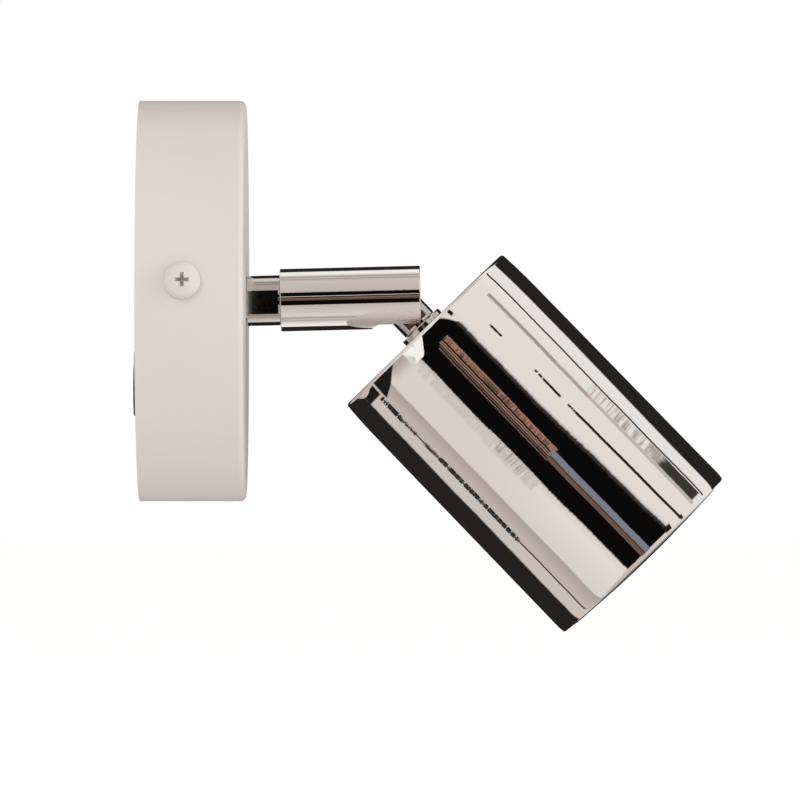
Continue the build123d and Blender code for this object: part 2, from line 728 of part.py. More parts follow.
def lamp_holder():
    """The ceramic holder: bayonet keyholes over pockets, sunk screws, wire holes behind."""
    rear = Plane.YZ.offset(holder_rear)
    body = slab(rear, holder_length, holder_width, holder_front - holder_rear, holder_corner_radius)
    body = fillet(body.faces().sort_by(Axis.X)[-1].edges(), 0.6)
    front = Plane.YZ.offset(holder_front)
    body -= extrude(front * keyholes(keyhole_slot, 0, lamp_twist), -holder_face)
    entries = Sketch() + PolarLocations(lamp_pin_spacing / 2, 2, lamp_twist) * Circle(keyhole_entry / 2)
    body -= extrude(front * entries, -holder_face)
    pocket = front.offset(-holder_face)
    body -= extrude(pocket * keyholes(keyhole_pocket, 0, lamp_twist), -pocket_depth)
    for side in (-1, 1):
        across = Pos(0, side * holder_screw_spacing / 2, 0)
        body -= across * rod(holder_screw_hole, holder_rear, holder_front)
        body -= across * rod(holder_screw_head + 0.4, holder_front - holder_screw_sink, holder_front)
        wire = Pos(0, side * lamp_pin_spacing / 2, 0)
        body -= wire * rod(holder_wire_hole, holder_rear, holder_front - holder_face - pocket_depth)
    return body


def holder_contacts():
    """Two sprung strips, one under each pin, in the holder's pockets."""
    floor = holder_front - holder_face - pocket_depth
    reach = lamp_shoulder - lamp_pin_length - contact_gap - floor
    strip = Box(reach, contact_width, contact_thickness, align=(Align.MIN, Align.CENTER, Align.MIN))
    pad = Pos(reach - contact_thickness, 0, 0) * Box(
        contact_thickness, contact_width, contact_length, align=(Align.MIN, Align.CENTER, Align.MIN))
    foot = Box(contact_thickness, contact_width, contact_length, align=(Align.MIN, Align.CENTER, Align.MIN))
    contact = strip + pad + foot
    return [Pos(floor, side * lamp_pin_spacing / 2, -contact_length / 2) * contact for side in (-1, 1)]


def holder_screws():
    """Two pan-head screws through the holder into the bracket's tabs."""
    seat = holder_front - holder_screw_sink
    length = seat - holder_rear + bracket_thickness + 1.0
    piece = screw(holder_screw_thread, length, holder_screw_head, holder_screw_head_height,
                  0.62 * holder_screw_head, cross=True)
    return [Pos(seat, side * holder_screw_spacing / 2, 0) * piece for side in (-1, 1)]


def lamp_base():
    """The lamp's ceramic foot: a flat-sided block with a round collar for the glass."""
    collar_start = lamp_shoulder + lamp_base_height - lamp_collar_height
    block = rod(lamp_base_length, lamp_shoulder, collar_start)
    block &= Pos(lamp_shoulder, 0, 0) * Box(
        lamp_base_height, lamp_base_length, lamp_base_width, align=(Align.MIN, Align.CENTER, Align.CENTER))
    collar = rod(lamp_base_length, collar_start, collar_start + lamp_collar_height)
    collar -= rod(lamp_neck_diameter + 2 * press_gap, collar_start, collar_start + lamp_collar_height)
    return block + rod(lamp_base_length, collar_start - 1.0, collar_start) + collar


def lamp_pins():
    """Two bayonet pins with mushroom heads."""
    neck = rod(lamp_pin_neck, lamp_shoulder - lamp_pin_length, lamp_shoulder)
    head = rod(lamp_pin_head, lamp_shoulder - lamp_pin_length,
               lamp_shoulder - lamp_pin_length + lamp_pin_head_height)
    head = chamfer(head.faces().sort_by(Axis.X)[0].edges(), 0.5)
    pin = neck + head
    return [Pos(0, side * lamp_pin_spacing / 2, 0) * pin for side in (-1, 1)]


def lamp_reflector():
    """The glass reflector: a parabola that runs from the neck out to the bezel."""
    neck = lamp_neck_diameter / 2
    mouth = lamp_lens_diameter / 2 + 0.6
    start = lamp_shoulder + lamp_base_height
    end = lamp_rim - lamp_rim_height
    opening = (mouth**2 - neck**2) / (end - start)

    def parabola(inset):
        steps = [start + (end - start) * step / 4 for step in range(5)]
        return [(x, sqrt(neck**2 + opening * (x - start)) - inset) for x in steps]

    outer, inner = parabola(0), parabola(lamp_glass_wall)
    foot = start - lamp_collar_height
    with BuildSketch() as half:
        with BuildLine():
            Spline(*outer)
            Line(outer[-1], inner[-1])
            Spline(*inner)
            Polyline(inner[0], (foot, neck - lamp_glass_wall), (foot, neck), outer[0])
        make_face()
    return revolve(half.sketch, Axis.X)


def lamp_bezel():
    """The grey ring that holds the lens on the reflector."""
    start = lamp_rim - lamp_rim_height
    seat = lamp_rim - lamp_lens_thickness
    bezel = rod(lamp_diameter, start, lamp_rim)
    bezel = fillet(bezel.faces().sort_by(Axis.X)[-1].edges(), 0.7)
    bezel -= rod(lamp_lens_diameter - 2.4, start, lamp_rim)
    return bezel - rod(lamp_lens_diameter + 2 * press_gap, seat, lamp_rim)


def lamp_lens():
    """The front glass, slightly crowned."""
    radius, crown = lamp_lens_diameter / 2, lamp_rim + lamp_lens_crown
    curve = (radius**2 + lamp_lens_crown**2) / (2 * lamp_lens_crown)
    disc = rod(lamp_lens_diameter, lamp_rim - lamp_lens_thickness + press_gap, crown)
    return disc & Pos(crown - curve, 0, 0) * Sphere(curve)


def lamp_capsule():
    """The quartz capsule in the middle of the reflector."""
    start = lamp_shoulder + lamp_base_height - lamp_collar_height
    tip = start + capsule_length
    bulb = rod(capsule_diameter, start, tip)
    return fillet(bulb.faces().sort_by(Axis.X)[-1].edges(), 0.48 * capsule_diameter)


# ------------------------------------------------------------------------- leads
def head_lead(side):
    """A core from the pivot through the stem, eased out to its hole in the holder."""
    near, far = side * lead_pitch, side * lamp_pin_spacing / 2
    middle = (stem_end + holder_rear) / 2
    quarter = (holder_rear - stem_end) / 4
    end = holder_front - holder_face - pocket_depth - press_gap
    return round_wire(
        [(lead_hinge_gap, near, 0), (middle - quarter, near, 0), (middle + quarter, far, 0), (end, far, 0)],
        lead_diameter,
    )


def head_earth_lead():
    """The earth core, turned back from the stem's nose to the tag under the nut."""
    turn = (stem_end + holder_rear) / 2
    rise = tag_tail_reach - earth_tag_thickness - lead_diameter / 2 - press_gap
    tip = tag_seat + earth_tag_thickness + press_gap
    return round_wire(
        [(lead_hinge_gap, 0, 0), (turn, 0, 0), (turn, 0, rise), (tip, 0, rise)],
        lead_diameter,
    )


# ------------------------------------------------------------------- the assembly
sides = {"live": -1, "earth": 0, "neutral": 1}

rose_pieces = {
    "rose_cup": rose_cup(),
    "wall_plate": wall_plate(),
    "side_screws": side_screws(),
    "cable_grommet": cable_grommet(),
    "terminal_block": terminal_block(),
    "terminal_clamps": terminal_clamps(),
    "terminal_screws": terminal_screws(),
    "block_screw": block_screw(),
    "earth_screw": earth_screw(),
    "earth_washer": earth_washer(),
    "plate_earth_lead": plate_earth_lead(),
    "swivel_stop_pin": swivel_stop_pin(),
}
arm_pieces = {
    "swivel_stud": swivel_stud(),
    "friction_washer": friction_washer(),
    "stop_washer": stop_washer(),
    "spring_washer": spring_washer(),
    "stud_nut": stud_nut(),
    "arm_tube": arm_tube(),
    "hinge_fork": hinge_fork(),
    "pivot_pins": pivot_pins(),
    "knuckle_washers": knuckle_washers(),
}
head_pieces = {
    "hinge_stem": hinge_stem(),
    "stem_washer": stem_washer(),
    "head_shell": head_shell(),
    "lamp_bracket": lamp_bracket(),
    "head_earth_tag": head_earth_tag(),
    "lock_washer": lock_washer(),
    "stem_nut": stem_nut(),
    "lamp_holder": lamp_holder(),
    "holder_contacts": holder_contacts(),
    "holder_screws": holder_screws(),
    "head_earth_lead": head_earth_lead(),
    "lamp_base": lamp_base(),
    "lamp_pins": lamp_pins(),
    "lamp_reflector": lamp_reflector(),
    "lamp_bezel": lamp_bezel(),
    "lamp_lens": lamp_lens(),
    "lamp_capsule": lamp_capsule(),
}
for core, side in sides.items():
    rose_pieces[f"rose_{core}_lead"] = rose_lead(side)
    arm_pieces[f"arm_{core}_lead"] = straight_core(
        side * lead_pitch, -stud_tail, pivot_reach - lead_hinge_gap)
    if side:
        head_pieces[f"head_{core}_lead"] = head_lead(side)

os.makedirs("parts", exist_ok=True)
for place, pieces in ((Pos(0, 0, 0), rose_pieces), (arm_frame, arm_pieces), (head_frame, head_pieces)):
    for name, shape in pieces.items():
        solids = shape if isinstance(shape, list) else [shape]
        placed = [place * solid for solid in solids]
        export_step(placed[0] if len(placed) == 1 else Compound(children=placed), f"parts/{name}.step")
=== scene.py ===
"""Pivoting spotlight wall light: finishes, close-up pieces and a plain studio.

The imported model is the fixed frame.  This script dresses its nodes, models the pieces whose
detail shows, and sets up a white studio.  Each sub-assembly is a class: it is modelled in
millimetres along its own +X axis, and its place turns it into metres in the model's frame.
"""

import json
import logging
import math
from dataclasses import dataclass, field
from enum import Enum
from typing import Callable, Iterable, Sequence

import bpy
from mathutils import Matrix, Vector


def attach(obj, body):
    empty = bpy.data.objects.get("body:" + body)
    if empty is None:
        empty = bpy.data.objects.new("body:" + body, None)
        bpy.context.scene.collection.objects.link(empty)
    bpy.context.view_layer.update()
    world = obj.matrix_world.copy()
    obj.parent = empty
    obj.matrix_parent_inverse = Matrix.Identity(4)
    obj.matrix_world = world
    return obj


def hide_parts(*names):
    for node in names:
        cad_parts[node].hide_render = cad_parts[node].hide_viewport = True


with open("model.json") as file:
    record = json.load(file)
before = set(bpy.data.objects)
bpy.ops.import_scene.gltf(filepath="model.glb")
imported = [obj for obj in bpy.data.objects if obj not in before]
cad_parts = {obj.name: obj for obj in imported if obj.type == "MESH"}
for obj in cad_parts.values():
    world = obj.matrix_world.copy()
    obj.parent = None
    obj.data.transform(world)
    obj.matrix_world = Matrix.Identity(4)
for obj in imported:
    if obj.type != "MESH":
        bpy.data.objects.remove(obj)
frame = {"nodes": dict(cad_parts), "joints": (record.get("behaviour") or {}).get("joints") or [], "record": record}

MM = 0.001
LOG = logging.getLogger("wall_light")
Colour = tuple[float, float, float]


# ------------------------------------------------------------------------------ places
@dataclass(frozen=True)
class Place:
    """Where a sub-assembly stands: its origin, in metres, and the way its own +X axis points."""

    origin: Vector
    axis: Vector

    @property
    def matrix(self) -> Matrix:
        """Turn the sub-assembly's own millimetres into the model's metres.

        Returns:
            The matrix, which keeps Y level across the axis.
        """
        along = self.axis.normalized()
        beside = Vector((0.0, 1.0, 0.0)) if abs(along.y) < 0.5 else Vector((-1.0, 0.0, 0.0))
        up = along.cross(beside).normalized()
        across = up.cross(along)
        turn = Matrix((along, across, up)).transposed().to_4x4()
        return Matrix.Translation(self.origin) @ turn @ Matrix.Scale(MM, 4)


def joint(name: str) -> dict:
    """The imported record's entry for one joint."""
    return next(j for j in frame["joints"] if j["name"] == name)


WALL = Place(Vector((0.0, 0.0, 0.0)), Vector((1.0, 0.0, 0.0)))
ARM = Place(Vector(joint("arm_swivel")["pos_m"]), Vector(joint("arm_swivel")["axis"]))
HEAD = Place(Vector(joint("lamp_twist")["pos_m"]), Vector(joint("lamp_twist")["axis"]))
PLACES = {"rose": WALL, "arm": ARM, "head": HEAD, "lamp": HEAD}


# ------------------------------------------------------------------------ shader tools
MIX_INPUTS = (0, 6, 7)
MIX_RESULT = 2


class Graph:
    """Adds shader nodes to a tree and joins them."""

    def __init__(self, tree: bpy.types.NodeTree) -> None:
        """Start on the tree of a material, a world or a group, and empty it."""
        self.tree = tree
        tree.nodes.clear()

    def add(self, kind: str, *fed: object, **settings: object) -> bpy.types.Node:
        """Add a node.

        Args:
            kind: the node's type, without its ShaderNode prefix.
            fed: what its first inputs take, in order.
            settings: attributes of the node itself.

        Returns:
            The new node.
        """
        prefix = "" if kind.startswith("NodeGroup") else "ShaderNode"
        node = self.tree.nodes.new(prefix + kind)
        for name, value in settings.items():
            setattr(node, name, value)
        for socket, value in zip(node.inputs, fed):
            self.feed(socket, value)
        return node

    def feed(self, socket: bpy.types.NodeSocket, value: object) -> None:
        """Join an output to a socket, or set the socket to a constant.

        Args:
            socket: the input.
            value: an output socket, a number or a tuple.
        """
        if isinstance(value, bpy.types.NodeSocket):
            self.tree.links.new(value, socket)
        elif isinstance(value, tuple) and len(value) == 3 and len(socket.default_value) == 4:
            socket.default_value = (*value, 1.0)
        else:
            socket.default_value = value

    def fill(self, node: bpy.types.Node, **values: object) -> bpy.types.Node:
        """Feed a node's inputs by name.

        Args:
            node: the node.
            values: what each input takes, with underscores for the spaces in its name.

        Returns:
            The node.
        """
        for name, value in values.items():
            self.feed(node.inputs[name.replace("_", " ")], value)
        return node

    def math(self, operation: str, *values: object) -> bpy.types.NodeSocket:
        """A Math node's result."""
        return self.add("Math", *values, operation=operation).outputs[0]

    def vector(self, operation: str, *values: object) -> bpy.types.NodeSocket:
        """A Vector Math node's result: the value of a dot product, else a vector."""
        node = self.add("VectorMath", *values, operation=operation)
        return node.outputs["Value" if operation == "DOT_PRODUCT" else "Vector"]

    def split(self, vector: object) -> Sequence[bpy.types.NodeSocket]:
        """A vector's parts along X, Y and Z."""
        return self.add("SeparateXYZ", vector).outputs

    def join(self, *parts: object) -> bpy.types.NodeSocket:
        """A vector from its parts along X, Y and Z."""
        return self.add("CombineXYZ", *parts).outputs[0]

    def noise(self, vector: object, scale: float = 1.0, detail: float = 1.0,
              roughness: float = 0.5) -> bpy.types.NodeSocket:
        """Noise between 0 and 1, with a mean of a half."""
        settings = {"Vector": vector, "Scale": scale, "Detail": detail, "Roughness": roughness}
        return self.fill(self.add("TexNoise"), **settings).outputs["Fac"]

    def stretch(self, vector: object, size: tuple[float, float, float]) -> bpy.types.NodeSocket:
        """Coordinates scaled differently along each axis."""
        return self.vector("MULTIPLY", vector, size)

    def between(self, value: object, low: object, high: object, new_low: object = 0.0,
                new_high: object = 1.0) -> bpy.types.NodeSocket:
        """A smooth, clamped map from one range to another."""
        row = (value, low, high, new_low, new_high)
        return self.add("MapRange", *row, interpolation_type="SMOOTHSTEP").outputs[0]

    def blend(self, share: object, first: object, second: object) -> bpy.types.NodeSocket:
        """Mix two colours.

        Args:
            share: how much of the second colour shows.
            first: the first colour.
            second: the second colour.

        Returns:
            The mixed colour.
        """
        node = self.add("Mix", data_type="RGBA")
        for index, value in zip(MIX_INPUTS, (share, first, second)):
            self.feed(node.inputs[index], value)
        return node.outputs[MIX_RESULT]

    def ramp(self, value: object, stops: Iterable[tuple[float, Colour]]) -> bpy.types.NodeSocket:
        """A colour ramp's colour.

        Args:
            value: the place on the ramp, 0 to 1.
            stops: positions and colours, in order.

        Returns:
            The colour socket.
        """
        node = self.add("ValToRGB", value)
        marks = node.color_ramp.elements
        for index, (position, colour) in enumerate(stops):
            mark = marks[index] if index < 2 else marks.new(position)
            mark.position = position
            mark.color = (*colour, 1.0)
        return node.outputs[0]

    def bump(self, height: object, depth: float, strength: float = 1.0,
             **bent: object) -> bpy.types.NodeSocket:
        """A normal bent by a height, whose depth is in millimetres; Normal may give one bent before."""
        settings = {"Height": height, "Distance": depth * MM, "Strength": strength, **bent}
        return self.fill(self.add("Bump"), **settings).outputs["Normal"]


VECTOR, NUMBER = "NodeSocketVector", "NodeSocketFloat"
Sockets = dict[str, bpy.types.NodeSocket]


class Group:
    """A shared effect: a node group with named inputs and outputs, built once."""

    def __init__(self, name: str, recipe: Callable[[Graph, Sockets], Sockets], outputs: dict[str, str],
                 **inputs: str | float) -> None:
        """Make the group.

        Args:
            name: the group's name.
            recipe: adds the group's nodes and gives what its outputs take.
            outputs: each output's name and kind.
            inputs: each input's name, and VECTOR or a number's default.
        """
        self.tree = bpy.data.node_groups.new(name, "ShaderNodeTree")
        for label, start in inputs.items():
            kind = start if start == VECTOR else NUMBER
            socket = self.tree.interface.new_socket(label, in_out="INPUT", socket_type=kind)
            if kind == NUMBER:
                socket.default_value = start
        for label, kind in outputs.items():
            self.tree.interface.new_socket(label, in_out="OUTPUT", socket_type=kind)
        graph = Graph(self.tree)
        given = graph.add("NodeGroupInput").outputs
        graph.fill(graph.add("NodeGroupOutput"), **recipe(graph, given))

    def use(self, graph: Graph, **values: object) -> Sockets:
        """The outputs of the group, placed in a material with its own values."""
        return graph.fill(graph.add("Group", node_tree=self.tree), **values).outputs


# ----------------------------------------------------------------------- shared effects
class Effects:
    """The node groups that several finishes share."""

    def __init__(self) -> None:
        """Build every group once."""
        height = {"Height": NUMBER}
        self.turned = Group("turning_marks", self._turning_marks, height,
                            Vector=VECTOR, Pitch=0.2, Waver=0.02)
        self.polish = Group("polish_ripple", self._polish_ripple, height, Vector=VECTOR, Ripple=1.0)
        self.peel = Group("orange_peel", self._orange_peel, height, Vector=VECTOR, Grain=1.0)
        self.chatter = Group("chatter", self._chatter, {"Normal": VECTOR},
                             Vector=VECTOR, Around=VECTOR, Tilt=0.01)
        self.handling = Group("handling", self._handling, {"Smear": NUMBER, "Speck": NUMBER},
                              Vector=VECTOR, Smear=1.0, Specks=0.0)
        # edge_light: the mask of sharp edges, used for a painted edge highlight
        self.edge = Group("edge_light", self._edge, {"Edge": NUMBER}, Radius=0.0006)

    @staticmethod
    def _turning_marks(graph: Graph, given: Sockets) -> Sockets:
        """Fine rings round the X axis, a little uneven, as a lathe leaves them.

        Args:
            graph: the group's graph.
            given: the group's inputs.

        Returns:
            The rings' height.
        """
        wander = graph.math("MULTIPLY", graph.noise(given["Vector"], 0.35, 2.0), given["Waver"])
        along = graph.math("ADD", graph.split(given["Vector"])[0], wander)
        rings = graph.join(graph.math("DIVIDE", along, given["Pitch"]))
        return {"Height": graph.noise(rings, 1.0, 3.0, 0.6)}

    @staticmethod
    def _polish_ripple(graph: Graph, given: Sockets) -> Sockets:
        """The slow ripple of polished sheet."""
        slow = graph.noise(graph.stretch(given["Vector"], (0.035, 0.07, 0.07)))
        return {"Height": graph.math("MULTIPLY", slow, given["Ripple"])}

    @staticmethod
    def _chatter(graph: Graph, given: Sockets) -> Sockets:
        """Fine strokes that tilt the normal round the axis only, so that mirrored edges come out toothed.

        Args:
            graph: the group's graph.
            given: the group's inputs.

        Returns:
            The tilted normal.
        """
        strokes = graph.noise(graph.stretch(given["Vector"], (1.5, 0.16, 0.16)))
        tilt = graph.math("MULTIPLY", graph.math("SUBTRACT", strokes, 0.5), given["Tilt"])
        plain = graph.add("NewGeometry").outputs["Normal"]
        axis = graph.add("VectorTransform", given["Around"], vector_type="VECTOR",
                         convert_from="OBJECT", convert_to="WORLD").outputs[0]
        aside = graph.vector("NORMALIZE", graph.vector("CROSS_PRODUCT", axis, plain))
        bend = graph.fill(graph.add("VectorMath", aside, operation="SCALE"), Scale=tilt).outputs[0]
        return {"Normal": graph.vector("NORMALIZE", graph.vector("ADD", plain, bend))}

    @staticmethod
    def _orange_peel(graph: Graph, given: Sockets) -> Sockets:
        """The soft grain of sprayed or baked powder.

        Args:
            graph: the group's graph.
            given: the group's inputs.

        Returns:
            The grain's height.
        """
        coarse, fine = graph.noise(given["Vector"], 1.1, 2.0), graph.noise(given["Vector"], 5.0, 2.0)
        mixed = graph.math("MULTIPLY_ADD", fine, 0.35, coarse)
        return {"Height": graph.math("MULTIPLY", mixed, given["Grain"])}

    @staticmethod
    def _handling(graph: Graph, given: Sockets) -> Sockets:
        """Faint smears left by handling, and a few small specks of dust.

        Args:
            graph: the group's graph.
            given: the group's inputs.

        Returns:
            The masks of the smears and of the specks.
        """
        smear = graph.between(graph.noise(given["Vector"], 0.09, 4.0, 0.6), 0.45, 0.75)
        cells = graph.fill(graph.add("TexVoronoi", feature="F1"), Vector=given["Vector"], Scale=0.16)
        near = graph.between(cells.outputs["Distance"], 0.012, 0.03, 1.0, 0.0)
        few = graph.between(graph.noise(given["Vector"], 0.07), 0.56, 0.6)
        specks = graph.math("MULTIPLY", graph.math("MULTIPLY", near, few), given["Specks"])
        return {"Smear": graph.math("MULTIPLY", smear, given["Smear"]), "Speck": specks}

    @staticmethod
    def _edge(graph: Graph, given: Sockets) -> Sockets:
        """Where the surface turns sharply, from the angle between its own and its rounded normal, for a painted
        edge highlight.

        Args:
            graph: the group's graph.
            given: the group's inputs.

        Returns:
            The mask of the edges, where the colour gets a painted highlight.
        """
        rounded = graph.fill(graph.add("Bevel", samples=4), Radius=given["Radius"])
        plain = graph.add("NewGeometry").outputs["Normal"]
        match = graph.vector("DOT_PRODUCT", rounded.outputs[0], plain)
        return {"Edge": graph.between(match, 0.86, 0.995, 1.0, 0.0)}


# ----------------------------------------------------------------------------- finishes
@dataclass(frozen=True)
class Work:
    """A material in the making.

    Attributes:
        graph: the material's graph.
        shader: its Principled shader.
        spot: the surface point, in the sub-assembly's own millimetres.
        place: the sub-assembly's frame.
        effects: the shared groups.
    """

    graph: Graph
    shader: bpy.types.Node
    spot: bpy.types.NodeSocket
    place: Place
    effects: Effects

    def mark(self, group: Group, **values: object) -> Sockets:
        """The outputs of a shared effect at the surface point."""
        return group.use(self.graph, Vector=self.spot, **values)

    def give(self, **values: object) -> None:
        """Feed the shader's inputs, with underscores for the spaces in their names."""
        self.graph.fill(self.shader, **values)


@dataclass(frozen=True)
class Finish:
    """A procedural material; subclasses say how its surface looks."""

    name: str
    colour: Colour
    roughness: float = 0.4

    def make(self, place: Place, effects: Effects) -> bpy.types.Material:
        """Build the material.

        Args:
            place: the frame whose axis the marks follow.
            effects: the shared groups.

        Returns:
            The finished material.
        """
        material = bpy.data.materials.new(self.name)
        material.use_nodes = True
        graph = Graph(material.node_tree)
        shader = graph.fill(graph.add("BsdfPrincipled"), Base_Color=self.colour, Roughness=self.roughness)
        graph.add("OutputMaterial", shader.outputs[0])
        self.dress(Work(graph, shader, self.own_millimetres(graph, place), place, effects))
        return material

    @staticmethod
    def own_millimetres(graph: Graph, place: Place) -> bpy.types.NodeSocket:
        """Turn Object coordinates into the sub-assembly's own millimetres.

        Args:
            graph: the material's graph.
            place: the sub-assembly's frame.

        Returns:
            The surface point.
        """
        back = place.matrix.inverted()
        steps = {"Location": back.translation, "Rotation": back.to_euler(), "Scale": back.to_scale()}
        spot = graph.add("TexCoord").outputs["Object"]
        return graph.fill(graph.add("Mapping", spot), **steps).outputs[0]

    def shade(self, factor: float) -> Colour:
        """The finish's colour times a factor, at most white."""
        return tuple(min(1.0, part * factor) for part in self.colour)

    def dress(self, work: Work) -> None:
        """Join the finish's own pattern to the shader of the material in the making."""
        raise NotImplementedError


@dataclass(frozen=True)
class PowderCoat(Finish):
    """Baked satin powder: a soft grain, faint mottling and dust."""

    grain: float = 1.0
    grain_depth: float = 0.012
    mottle: float = 0.03
    patches: float = 0.05
    smear: float = 0.06
    dust: Colour = (0.16, 0.14, 0.13)

    def dress(self, work: Work) -> None:
        """Put grain in the normal, mottling and specks in the colour.

        Args:
            work: the material in the making.
        """
        graph = work.graph
        wear = work.mark(work.effects.handling, Smear=1.0, Specks=1.0)
        cloud = graph.noise(work.spot, self.patches, 3.0)
        tone = graph.blend(cloud, self.shade(1.0 - 2.0 * self.mottle), self.colour)
        peel = work.mark(work.effects.peel, Grain=self.grain)
        work.give(Base_Color=graph.blend(wear["Speck"], tone, self.dust),
                  Roughness=graph.math("MULTIPLY_ADD", wear["Smear"], self.smear, self.roughness),
                  Normal=graph.bump(peel["Height"], self.grain_depth, 0.5))


@dataclass(frozen=True)
class PolishedChrome(Finish):
    """Mirror plate over spun or drawn metal: slow ripples, fine strokes round the axis, faint handling."""

    ripple: float = 0.006
    tilt: float = 0.010
    smear: float = 0.004
    dust: Colour = (0.3, 0.29, 0.28)

    def dress(self, work: Work) -> None:
        """Put ripple and strokes in the normal, smears in the roughness.

        Args:
            work: the material in the making.
        """
        graph = work.graph
        wear = work.mark(work.effects.handling, Smear=1.0, Specks=0.3)
        strokes = work.mark(work.effects.chatter, Around=tuple(work.place.axis), Tilt=self.tilt)
        ripple = work.mark(work.effects.polish, Ripple=self.ripple)
        work.give(Metallic=1.0,
                  Base_Color=graph.blend(wear["Speck"], self.colour, self.dust),
                  Roughness=graph.math("MULTIPLY_ADD", wear["Smear"], self.smear, self.roughness),
                  Normal=graph.bump(ripple["Height"], 1.0, Normal=strokes["Normal"]))


@dataclass(frozen=True)
class TurnedMetal(Finish):
    """Machined metal: rings left by the tool, and sharp edges brightened as a painted highlight."""

    pitch: float = 0.22
    depth: float = 0.004
    waver: float = 0.05
    tarnish: float = 0.12
    scatter: float = 0.12
    # the painted edge highlight: how wide its mask reaches and how much it brightens the colour
    worn_radius: float = 0.25
    worn_gain: float = 1.15

    def dress(self, work: Work) -> None:
        """Put rings in the normal and roughness, tarnish and a painted highlight on sharp edges in the colour.

        Args:
            work: the material in the making.
        """
        graph = work.graph
        rings = work.mark(work.effects.turned, Pitch=self.pitch, Waver=self.waver)["Height"]
        wear = work.mark(work.effects.handling, Smear=1.0, Specks=0.0)
        # painted highlight: the colour is brightened along sharp edges, as where light catches them
        edge = work.effects.edge.use(graph, Radius=self.worn_radius * MM)["Edge"]
        tone = graph.blend(rings, self.shade(1.0 - self.tarnish), self.colour)
        rough = graph.math("MULTIPLY_ADD", rings, self.scatter, self.roughness - self.scatter / 3.0)
        work.give(Metallic=1.0,
                  Base_Color=graph.blend(edge, tone, self.shade(self.worn_gain)),
                  Roughness=graph.math("MULTIPLY_ADD", wear["Smear"], self.scatter / 2.4, rough),
                  Normal=graph.bump(rings, self.depth))


@dataclass(frozen=True)
class Moulded(Finish):
    """Moulded rubber, plastic or ceramic: a fine grain over one colour."""

    grain: float = 0.6
    grain_depth: float = 0.01
    mottle: float = 0.05
    patches: float = 0.4
    smear: float = 0.08
    sheen: float = 0.0

    def dress(self, work: Work) -> None:
        """Put grain in the normal, mottling in the colour.

        Args:
            work: the material in the making.
        """
        graph = work.graph
        cloud = graph.noise(work.spot, self.patches, 4.0, 0.6)
        wear = work.mark(work.effects.handling, Smear=1.0, Specks=0.0)
        peel = work.mark(work.effects.peel, Grain=self.grain)
        work.give(Sheen_Weight=self.sheen,
                  Base_Color=graph.blend(cloud, self.shade(1.0 - 2.0 * self.mottle), self.colour),
                  Roughness=graph.math("MULTIPLY_ADD", wear["Smear"], self.smear, self.roughness),
                  Normal=graph.bump(peel["Height"], self.grain_depth, 0.6))


@dataclass(frozen=True)
class StripedSleeve(Finish):
    """The earth core's sleeve: two colours that run along it in a slow twist."""

    second: Colour = (0.72, 0.62, 0.04)
    twist: float = 0.35
    spread: float = 4.0
    grain: float = 0.5
    grain_depth: float = 0.008

    def dress(self, work: Work) -> None:
        """Put stripes in the colour, a fine grain in the normal.

        Args:
            work: the material in the making.
        """
        graph = work.graph
        along, across, up = graph.split(work.spot)
        run = graph.math("MULTIPLY", graph.math("ADD", along, up), self.twist)
        wave = graph.math("SINE", graph.math("ADD", run, graph.math("MULTIPLY", across, self.spread)))
        peel = work.mark(work.effects.peel, Grain=self.grain)
        work.give(Base_Color=graph.blend(graph.between(wave, -0.1, 0.1), self.colour, self.second),
                  Normal=graph.bump(peel["Height"], self.grain_depth, 0.5))


@dataclass(frozen=True)
class ClearGlass(Finish):
    """Pressed glass: clear, with a faint waviness."""

    bending: float = 1.47
    wave_depth: float = 0.006

    def dress(self, work: Work) -> None:
        """Let light through, with waviness in the normal."""
        waves = work.mark(work.effects.peel, Grain=1.0)["Height"]
        work.give(Transmission_Weight=1.0, IOR=self.bending,
                  Normal=work.graph.bump(waves, self.wave_depth, 0.4))


class Tone(Enum):
    """The finishes that the light's pieces take, by the record's slot."""

    white_paint = PowderCoat("white_powder_coat", (0.74, 0.67, 0.635), 0.42)
    zinc_steel = TurnedMetal("zinc_plated_steel", (0.66, 0.67, 0.69), 0.34, pitch=0.9, depth=0.001)
    spring_steel = TurnedMetal("spring_steel", (0.42, 0.42, 0.43), 0.36, pitch=0.5, depth=0.001)
    black_rubber = Moulded("black_rubber", (0.012, 0.014, 0.018), 0.28, grain=0.4, sheen=0.1)
    white_nylon = Moulded("white_nylon", (0.78, 0.78, 0.74), 0.5)
    clamp_brass = TurnedMetal("machined_brass", (0.74, 0.53, 0.22), 0.28)
    nickel = TurnedMetal("turned_nickel", (0.66, 0.62, 0.58), 0.07, pitch=0.16, depth=0.0004, scatter=0.03)
    chrome_plate = PolishedChrome("polished_chrome", (0.90, 0.885, 0.875), 0.004)
    cast_alloy = TurnedMetal("machined_alloy", (0.70, 0.70, 0.71), 0.32, pitch=0.3)
    brown_core = Moulded("brown_sleeve", (0.13, 0.05, 0.02), 0.4)
    blue_core = Moulded("blue_sleeve", (0.03, 0.10, 0.42), 0.4)
    earth_core = StripedSleeve("green_yellow_sleeve", (0.05, 0.28, 0.05), 0.4)
    porcelain = Moulded("unglazed_porcelain", (0.80, 0.76, 0.68), 0.6, grain=1.0)
    reflector_coat = PolishedChrome("mirror_coat", (0.86, 0.86, 0.88), 0.06, ripple=0.0, tilt=0.006)
    bezel_grey = TurnedMetal("satin_bezel", (0.36, 0.34, 0.33), 0.38, pitch=0.12, depth=0.0006)
    clear_glass = ClearGlass("clear_glass", (0.97, 0.98, 0.98), 0.0)


